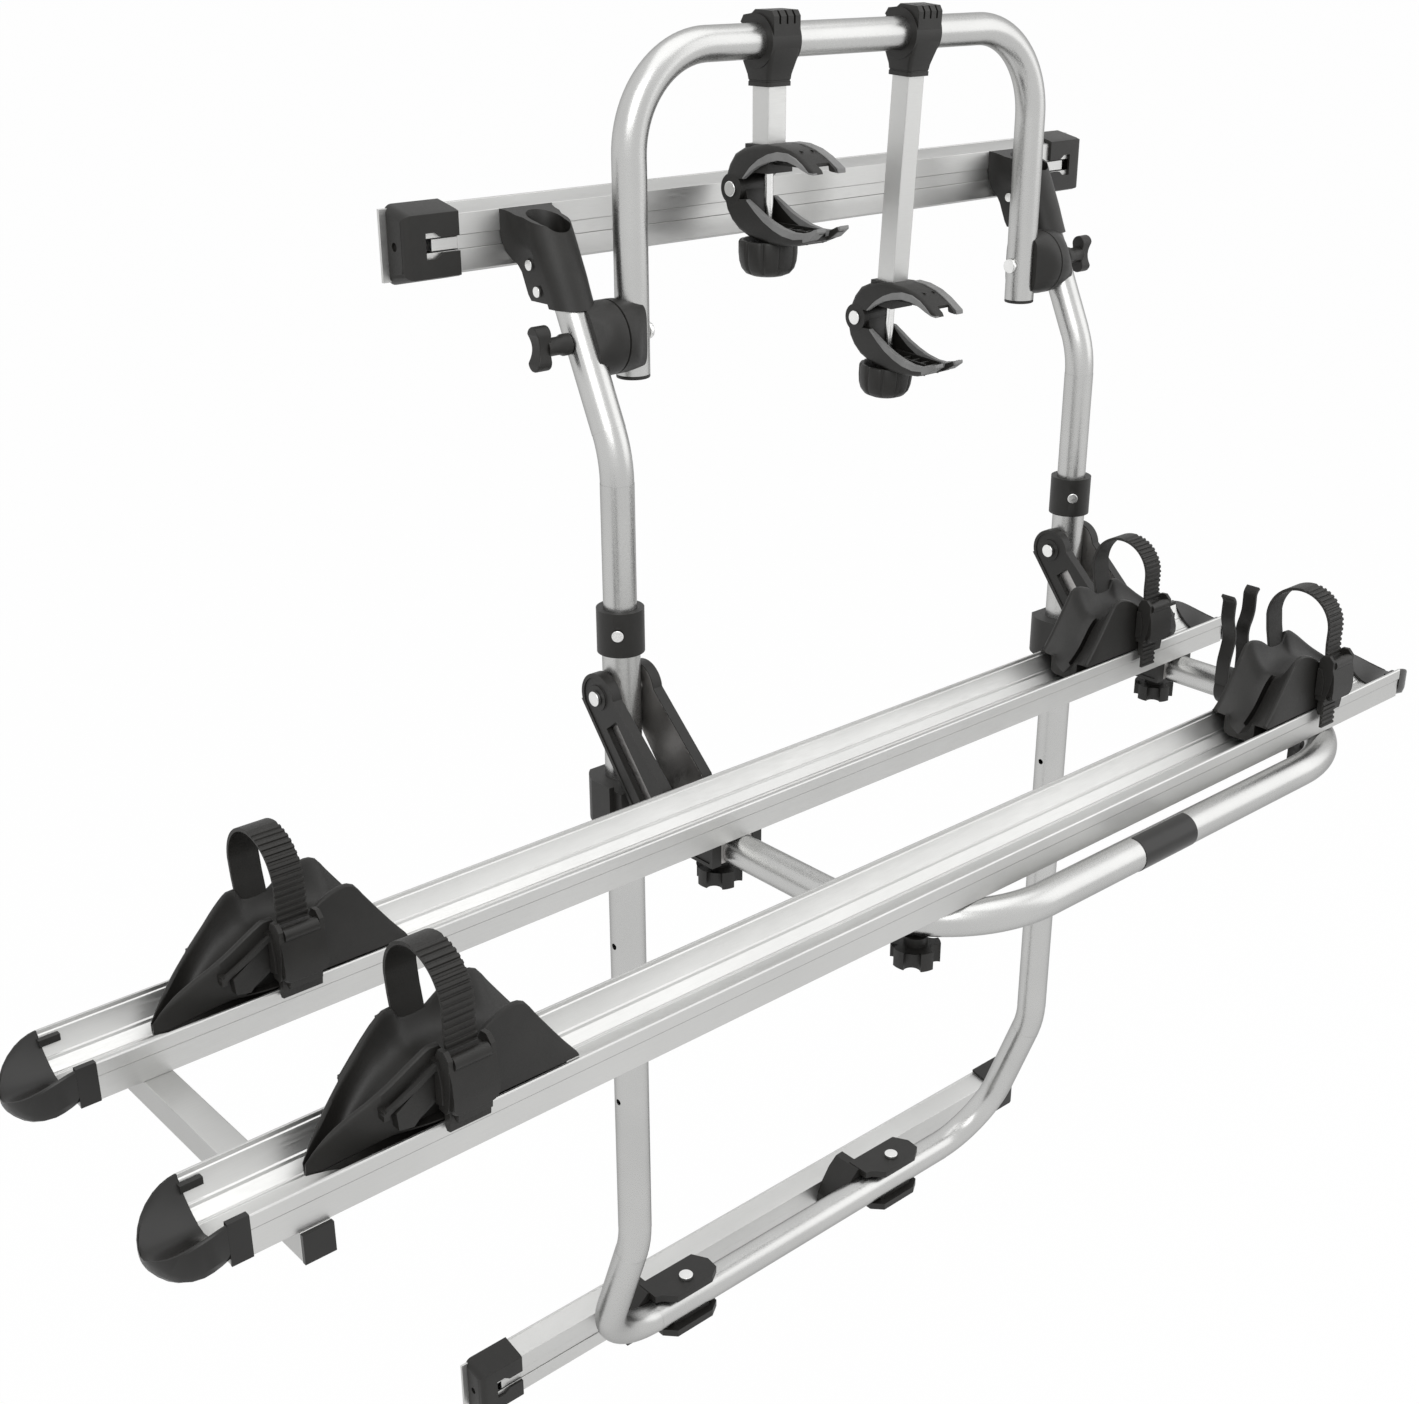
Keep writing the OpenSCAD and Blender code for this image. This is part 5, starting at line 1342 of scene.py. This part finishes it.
class RACK_OT_holders(RackOperator):
    """Wheel holders: scooped walls, side grips and the opening beside the buckle"""

    bl_idname = "rack.holders"
    bl_label = "Wheel holders"

    def build(self, look, sizes):
        for tag in HOLDERS:
            piece(
                "wheel_cup_{}_shell".format(tag), holder_mesh(), "holder_" + tag,
                "moulded_plastic", ["wheel_cup_" + tag], 0.7, 32, holder_place(tag),
            )


# Straps: place along the holder, half width, radius and height of the loop, and how thick they are
STRAP_U = 86
STRAP_HALF = 11
STRAP_R = 32
STRAP_LOOP = 72
STRAP_THICK = 2.6
# The two ends of a strap, in its rear wall and down to the buckle, and where its ribs start, in
# degrees; the free end under the buckle, its thickness and its shift along the holder
STRAP_REAR = ((25, 34, False), (27.6, 46, False), (30.2, 58, False))
STRAP_FRONT = ((-31.9, 66, True), (-31.9, 60, True), (-32.3, 54, True), (-33, 48, True))
RIBS_FROM = 96
TAIL_LINE = ((-36.4, 16, True), (-38.4, 4, True), (-38.8, -15, True))
TAIL_THICK = 2.8
TAIL_SHIFT = -6
# Steps along a ribbed and a smooth run, and the share of a pitch that is a groove
RIB_STEP = 0.55
SMOOTH_STEP = 4
RIB_GAP = 0.42
# Buckle: its back, the sill under it, and its cheeks and pivot plates (outline, near and far)
BUCKLE_BACK = ((-13, -37, 2), (13, -30, 46))
SILL_LINE = ((-31.3, 20), (-31.3, -2), (-33, -4.4), (-36.4, -3.6), (-37.4, 4), (-37.4, 20))
SILL_HALF = 14.5
CHEEK_LINE = (
    (-29, 10), (-29, 47), (-32, 52), (-38, 52.5), (-42.5, 48), (-42.5, 30), (-39, 12), (-36, 9),
)
PLATE_LINE = ((-29, 14), (-29, 40), (-33, 40), (-36, 30), (-36, 16))
CHEEKS = ((CHEEK_LINE, 13, 16.4), (PLATE_LINE, 16, 18))
# Levers: outline and half width of the plate, rounding of its lower corners, the roll at its
# pivot (place, radius, length) and the tab of the left ones
LEVER_LINE = (
    (-37.6, 41), (-37.6, 14), (-39, 10.6), (-42, 9.6), (-44.8, 11.5), (-45.4, 22), (-44.4, 34),
    (-41.5, 44),
)
LEVER_HALF = 16
LEVER_ROUND = 5
LEVER_ROLL = ((STRAP_U, -39.6, 44), 4.6, 25)
TAB_LINE = ((-38, 13), (-38, 6), (-40, 4.4), (-42.4, 5.4), (-43, 13))
TAB_HALF = 12


def strap_line():
    """The strap's outer line across the rail, from the rear wall to the buckle: (v, h, ribbed)."""
    loop = [(*strap_arc(a), a > RIBS_FROM) for a in spread(0, 180, 46)]
    return [*STRAP_REAR, *loop, *STRAP_FRONT]


def strap_arc(angle):
    """A point of the strap's loop, angle in degrees."""
    turn = math.radians(angle)
    return (STRAP_R * math.cos(turn), STRAP_LOOP + STRAP_R * math.sin(turn))


def ribbed_band(line, thick, pitch, depth, half):
    """A new mesh: a band along a line, extruded across, with ribs where the line says so."""
    fine = []
    for (v0, h0, _), (v1, h1, ribbed) in zip(line, line[1:]):
        length = math.hypot(v1 - v0, h1 - h0)
        count = max(1, round(length / (RIB_STEP if ribbed else SMOOTH_STEP)))
        for i in range(count):
            t = i / count
            fine.append((v0 + (v1 - v0) * t, h0 + (h1 - h0) * t, ribbed))
    fine.append(line[-1])
    outer, inner, travel = [], [], 0
    for i, (v, h, ribbed) in enumerate(fine):
        before, after = fine[max(i - 1, 0)], fine[min(i + 1, len(fine) - 1)]
        run = Vector((after[0] - before[0], after[1] - before[1])).normalized()
        out = Vector((run.y, -run.x))
        if i:
            travel += math.hypot(v - before[0], h - before[1])
        groove = ribbed and (travel % pitch) / pitch < RIB_GAP
        rise = -depth if groove else 0
        outer.append((v + out.x * rise, h + out.y * rise))
        if i % 4 == 0 or not ribbed or i == len(fine) - 1:
            inner.append((v - out.x * thick, h - out.y * thick))
    return slab(outer + inner[::-1], STRAP_U - half, STRAP_U + half, "X")


def strap_mesh(sizes, tail):
    """A strap with its buckle's body, and with its free end where one shows."""
    pitch, depth = sizes.rib_pitch / MM, sizes.rib_depth / MM
    parts = [ribbed_band(strap_line(), STRAP_THICK, pitch, depth, STRAP_HALF)]
    if tail:
        lower = ribbed_band(TAIL_LINE, TAIL_THICK, pitch, depth, STRAP_HALF - 1)
        bmesh.ops.translate(lower, vec=(TAIL_SHIFT, 0, 0), verts=lower.verts)
        parts.append(lower)
    body = brick(*[(STRAP_U + u, v, h) for u, v, h in BUCKLE_BACK])
    prism(body, SILL_LINE, STRAP_U - SILL_HALF, STRAP_U + SILL_HALF, "X")
    for outline, near, far in CHEEKS:
        for side in SIDES:
            low, high = sorted((STRAP_U + side * near, STRAP_U + side * far))
            prism(body, outline, low, high, "X")
    parts.append(body)
    return joined(parts)


def lever_mesh(tab):
    """A buckle's folding lever, with the tab where it shows."""
    plate = slab(LEVER_LINE, STRAP_U - LEVER_HALF, STRAP_U + LEVER_HALF, "X")
    rounded(plate, [e for e in plate.edges if lower_corner(e)], LEVER_ROUND, 5)
    centre, radius, length = LEVER_ROLL
    parts = [plate, barrel(centre, "X", radius, length, 28)]
    if tab:
        parts.append(slab(TAB_LINE, STRAP_U - TAB_HALF, STRAP_U + TAB_HALF, "X"))
    return joined(parts)


def lower_corner(edge):
    """True for the lower corner edges of a lever, across its thickness."""
    a, b = (v.co for v in edge.verts)
    across = abs(abs(a.x - STRAP_U) - LEVER_HALF) < 0.1
    return abs(a.x - b.x) < 0.01 and max(a.z, b.z) < 15 and across


class RACK_OT_straps(RackOperator):
    """Ratchet straps: smooth behind, ribbed in front, in a buckle with a folding lever"""

    bl_idname = "rack.straps"
    bl_label = "Straps and buckles"

    def build(self, look, sizes):
        for tag in HOLDERS:
            right = tag.endswith("right")
            place = holder_place(tag)
            band = piece(
                "cup_strap_{}_band".format(tag), strap_mesh(sizes, right), "holder_" + tag,
                "strap_plastic", ["cup_strap_" + tag], 0.35, 30, place,
            )
            if tag == "front_right":
                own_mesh(band)
            piece(
                "buckle_lever_{}_plate".format(tag), lever_mesh(not right), "lever_" + tag,
                "moulded_plastic", ["buckle_lever_" + tag], 0.6, 32, place,
            )


# Clamp jaws about their pivot: (y, z) of the outer and inner lines, y outward is negative
JAW_TOP_OUTER = (
    (9, 8), (4, 20), (-3, 29), (-13, 34), (-26, 37.2), (-40, 38.6), (-54, 38.4), (-68, 36),
    (-80, 31.8), (-90, 27), (-97, 22.5),
)
JAW_TOP_INNER = (
    (-99, 19.5), (-93, 19.8), (-86, 22), (-78, 25), (-68, 27.4), (-56, 27.6), (-44, 25), (-33, 21),
    (-23, 15.5), (-14, 9),
)
JAW_LOW_OUTER = (
    (10, -9), (7, -18), (1, -26), (-8, -33), (-20, -37.6), (-34, -40.2), (-50, -41), (-66, -40.4),
    (-80, -38.6), (-92, -34), (-103, -26.5),
)
JAW_LOW_INNER = (
    (-101, -23), (-95, -26), (-88, -28), (-76, -28.2), (-63, -26), (-52, -22.6), (-40, -17.8),
    (-29, -12), (-19, -7),
)
# Half width, thickness of the sides, rounding of the outer edges, and the notch in the tip
JAW_HALF = 18
JAW_WALL = 4
JAW_ROUND = 4.5
JAW_NOTCH = ((-7, -112, -45), (7, -90, 45))
# Web of the lower jaw, and the pads' laps round its tip and over the upper jaw's edge
JAW_WEB = ((4, -10), (-4, 8), (-14, -2), (-20, -22), (-10, -30))
TIP_LAP = ((-87, -27.4), (-96, -25.2), (-104, -22), (-104.6, -25), (-96, -32), (-87, -35))
TOP_LAP = (
    (-44, 39.2), (-58, 38.9), (-72, 35.9), (-84, 30.9), (-98.5, 22.5), (-99.2, 18.8), (-92, 19.2),
    (-84, 27), (-70, 32), (-58, 34.4), (-44, 35),
)
# Places (y, z) of the jaw pivots
PIVOTS = {"short": (-66.977, 1155.0), "long": (-52.515, 1022.972)}
# Bowl knobs: height, extra radius, number and depth of the grips
BOWL_HEIGHT = 30
BOWL_EXTRA = 0.2
BOWL_GRIPS = 10
GRIP_DEPTH = 1.5


def jaw_mesh(outer, inner, top):
    """One jaw: an arched shell that is hollow inside, with ribs and the eye of its pivot."""
    shell = slab(list(outer) + list(inner), -JAW_HALF, JAW_HALF, "X")
    rounded(shell, [e for e in shell.edges if arched_edge(e, outer)], JAW_ROUND, 5)
    sign = 1 if top else -1
    roof = [(y + 3 * (i < 2), z - sign * 3) for i, (y, z) in enumerate(outer[:-1])]
    floor = [(y, z - sign * 9) for y, z in inner[1:]]
    shell = carved(shell, slab(roof + floor, -JAW_HALF + JAW_WALL, JAW_HALF - JAW_WALL, "X"))
    shell = carved(shell, brick(*JAW_NOTCH))
    boss = bmesh.new()
    if top:
        for side in SIDES:
            drum(boss, (side * 15.6, 0, 0), "X", 12.6, 5.2, 40)
        block(boss, (-14, -41, 15), (14, -13, 37.5))
        for x in (-6, 6):
            block(boss, (x - 0.8, -74, 22), (x + 0.8, -40, 35.5))
        for y in (-50, -60, -70):
            block(boss, (-14, y - 0.8, 25), (14, y + 0.8, 35))
    else:
        drum(boss, CENTRE, "X", 12, 27.2, 40)
        prism(boss, JAW_WEB, -13, 13, "X")
        for x in (-9, 9):
            block(boss, (x - 0.8, -84, -38), (x + 0.8, -30, -27))
        for y in (-50, -61, -72, -83):
            block(boss, (-14, y - 0.8, -37.5), (14, y + 0.8, -29))
    return joined([shell, boss])


def arched_edge(edge, outer):
    """True for the edges along a jaw's outer line."""
    a, b = (v.co for v in edge.verts)
    near = all(any(math.hypot(p.y - y, p.z - z) < 0.01 for y, z in outer) for p in (a, b))
    return abs(a.x - b.x) < 0.01 and near


def pad_mesh(inner, top):
    """The grey pad along a jaw's inner line, on both sides, and its lap at the tip."""
    sign = 1 if top else -1
    count = len(inner)
    back = []
    for i, (y, z) in enumerate(inner):
        share = math.sin(math.pi * min(1.0, max(0.0, (i - 1) / (count - 2.0)))) ** 0.7
        back.append((y, z + sign * (1.2 + 5.4 * share)))
    front = [(y, z - sign * 0.25) for y, z in inner]
    bm = bmesh.new()
    for side in SIDES:
        low, high = sorted((side * (JAW_HALF - 4.4), side * (JAW_HALF + 0.35)))
        prism(bm, front + back[::-1], low, high, "X")
    if top:
        prism(bm, TOP_LAP, 9.5, JAW_HALF + 0.5, "X")
    else:
        for side in SIDES:
            low, high = sorted((side * 8, side * (JAW_HALF + 0.3)))
            prism(bm, TIP_LAP, low, high, "X")
    return bm


def jaw_knob_mesh():
    """A bowl-shaped knob with grips round its rim, and the stem inside it."""
    low, high = low_high("short_jaw_knob")
    h, radius = high.z - low.z, (high.x - low.x) / 2
    r = radius + BOWL_EXTRA
    profile = (
        (0, 0), (r * 0.55, 0.3), (r * 0.76, 2.4), (r * 0.9, 6.5), (r * 0.97, 12), (r, 19),
        (r, h - 2), (r - 1, h), (r - 4, h), (r - 5, h - 2), (r - 6, h * 0.45), (r * 0.4, h * 0.34),
        (0, h * 0.34),
    )
    bowl = turned(profile, CENTRE, "Z", 120)
    for vert in bowl.verts:
        reach = math.hypot(vert.co.x, vert.co.y)
        if reach > radius * 0.86 and vert.co.z > 2:
            turn = math.atan2(vert.co.y, vert.co.x)
            dip = max(0.0, math.cos(turn * BOWL_GRIPS)) ** 6 * GRIP_DEPTH
            vert.co.x *= (reach - dip) / reach
            vert.co.y *= (reach - dip) / reach
    return joined([bowl, barrel((0, 0, h * 0.72), "Z", 9, h * 0.72, 32)])


class RACK_OT_jaws(RackOperator):
    """Arched clamp jaws with grey pads, and their bowl knobs"""

    bl_idname = "rack.jaws"
    bl_label = "Clamp jaws"

    def build(self, look, sizes):
        for arm, tilt in ARM_TILT.items():
            lean = Matrix.Rotation(tilt, 4, "X")
            place = Matrix.Translation((arm_x(arm), *PIVOTS[arm])) @ lean
            upper, lower = arm + "_arm", arm + "_lower_jaw"
            top = jaw_mesh(JAW_TOP_OUTER, JAW_TOP_INNER, True)
            bottom = jaw_mesh(JAW_LOW_OUTER, JAW_LOW_INNER, False)
            parts = (
                ("jaw_top", top, upper, "moulded_plastic"),
                ("top_pad", pad_mesh(JAW_TOP_INNER, True), upper, "rubber_pad"),
                ("jaw_bottom", bottom, lower, "moulded_plastic"),
                ("bottom_pad", pad_mesh(JAW_LOW_INNER, False), lower, "rubber_pad"),
            )
            for name, mesh, body, material in parts:
                node = "{}_{}".format(arm, name)
                piece(node + "_shape", mesh, body, material, [node], 0.7, 32, place)
            low, high = low_high(arm + "_jaw_knob")
            foot = Vector((low + high) / 2) + lean @ Vector((0, 0, -BOWL_HEIGHT / 2))
            piece(
                arm + "_jaw_knob_bowl", jaw_knob_mesh(), arm + "_clamp_knob", "moulded_plastic",
                [arm + "_jaw_knob"], 0.5, 40, Matrix.Translation(foot) @ lean,
            )


class RACK_PT_panel(bpy.types.Panel):
    """Sizes, colours and builders of the rack"""

    bl_label = "Bike rack"
    bl_idname = "RACK_PT_panel"
    bl_space_type = "VIEW_3D"
    bl_region_type = "UI"
    bl_category = "Bike rack"

    def draw(self, context):
        for group in ("rack_finish", "rack_sizes", "rack_stage"):
            box = self.layout.box()
            settings = getattr(context.scene, group)
            for name in settings.bl_rna.properties.keys():
                if name not in ("rna_type", "name"):
                    box.prop(settings, name)
        for step in STEPS:
            self.layout.operator(step.bl_idname)


STEPS = (
    RACK_OT_stage,
    RACK_OT_metal,
    RACK_OT_moulded,
    RACK_OT_swivels,
    RACK_OT_brackets,
    RACK_OT_barclamps,
    RACK_OT_wallcaps,
    RACK_OT_clamps,
    RACK_OT_braces,
    RACK_OT_rails,
    RACK_OT_clip,
    RACK_OT_badge,
    RACK_OT_holders,
    RACK_OT_straps,
    RACK_OT_jaws,
)
GROUPS = {"rack_finish": RackFinish, "rack_sizes": RackSizes, "rack_stage": RackStage}


def register():
    for group in GROUPS.values():
        bpy.utils.register_class(group)
    for name, group in GROUPS.items():
        setattr(bpy.types.Scene, name, bpy.props.PointerProperty(type=group))
    for item in (*STEPS, RACK_PT_panel):
        bpy.utils.register_class(item)


def unregister():
    for item in (RACK_PT_panel, *reversed(STEPS)):
        bpy.utils.unregister_class(item)
    for name in GROUPS:
        delattr(bpy.types.Scene, name)
    for group in GROUPS.values():
        bpy.utils.unregister_class(group)


def main():
    register()
    for step in STEPS:
        group, name = step.bl_idname.split(".")
        getattr(getattr(bpy.ops, group), name)()


if __name__ == "__main__":
    main()
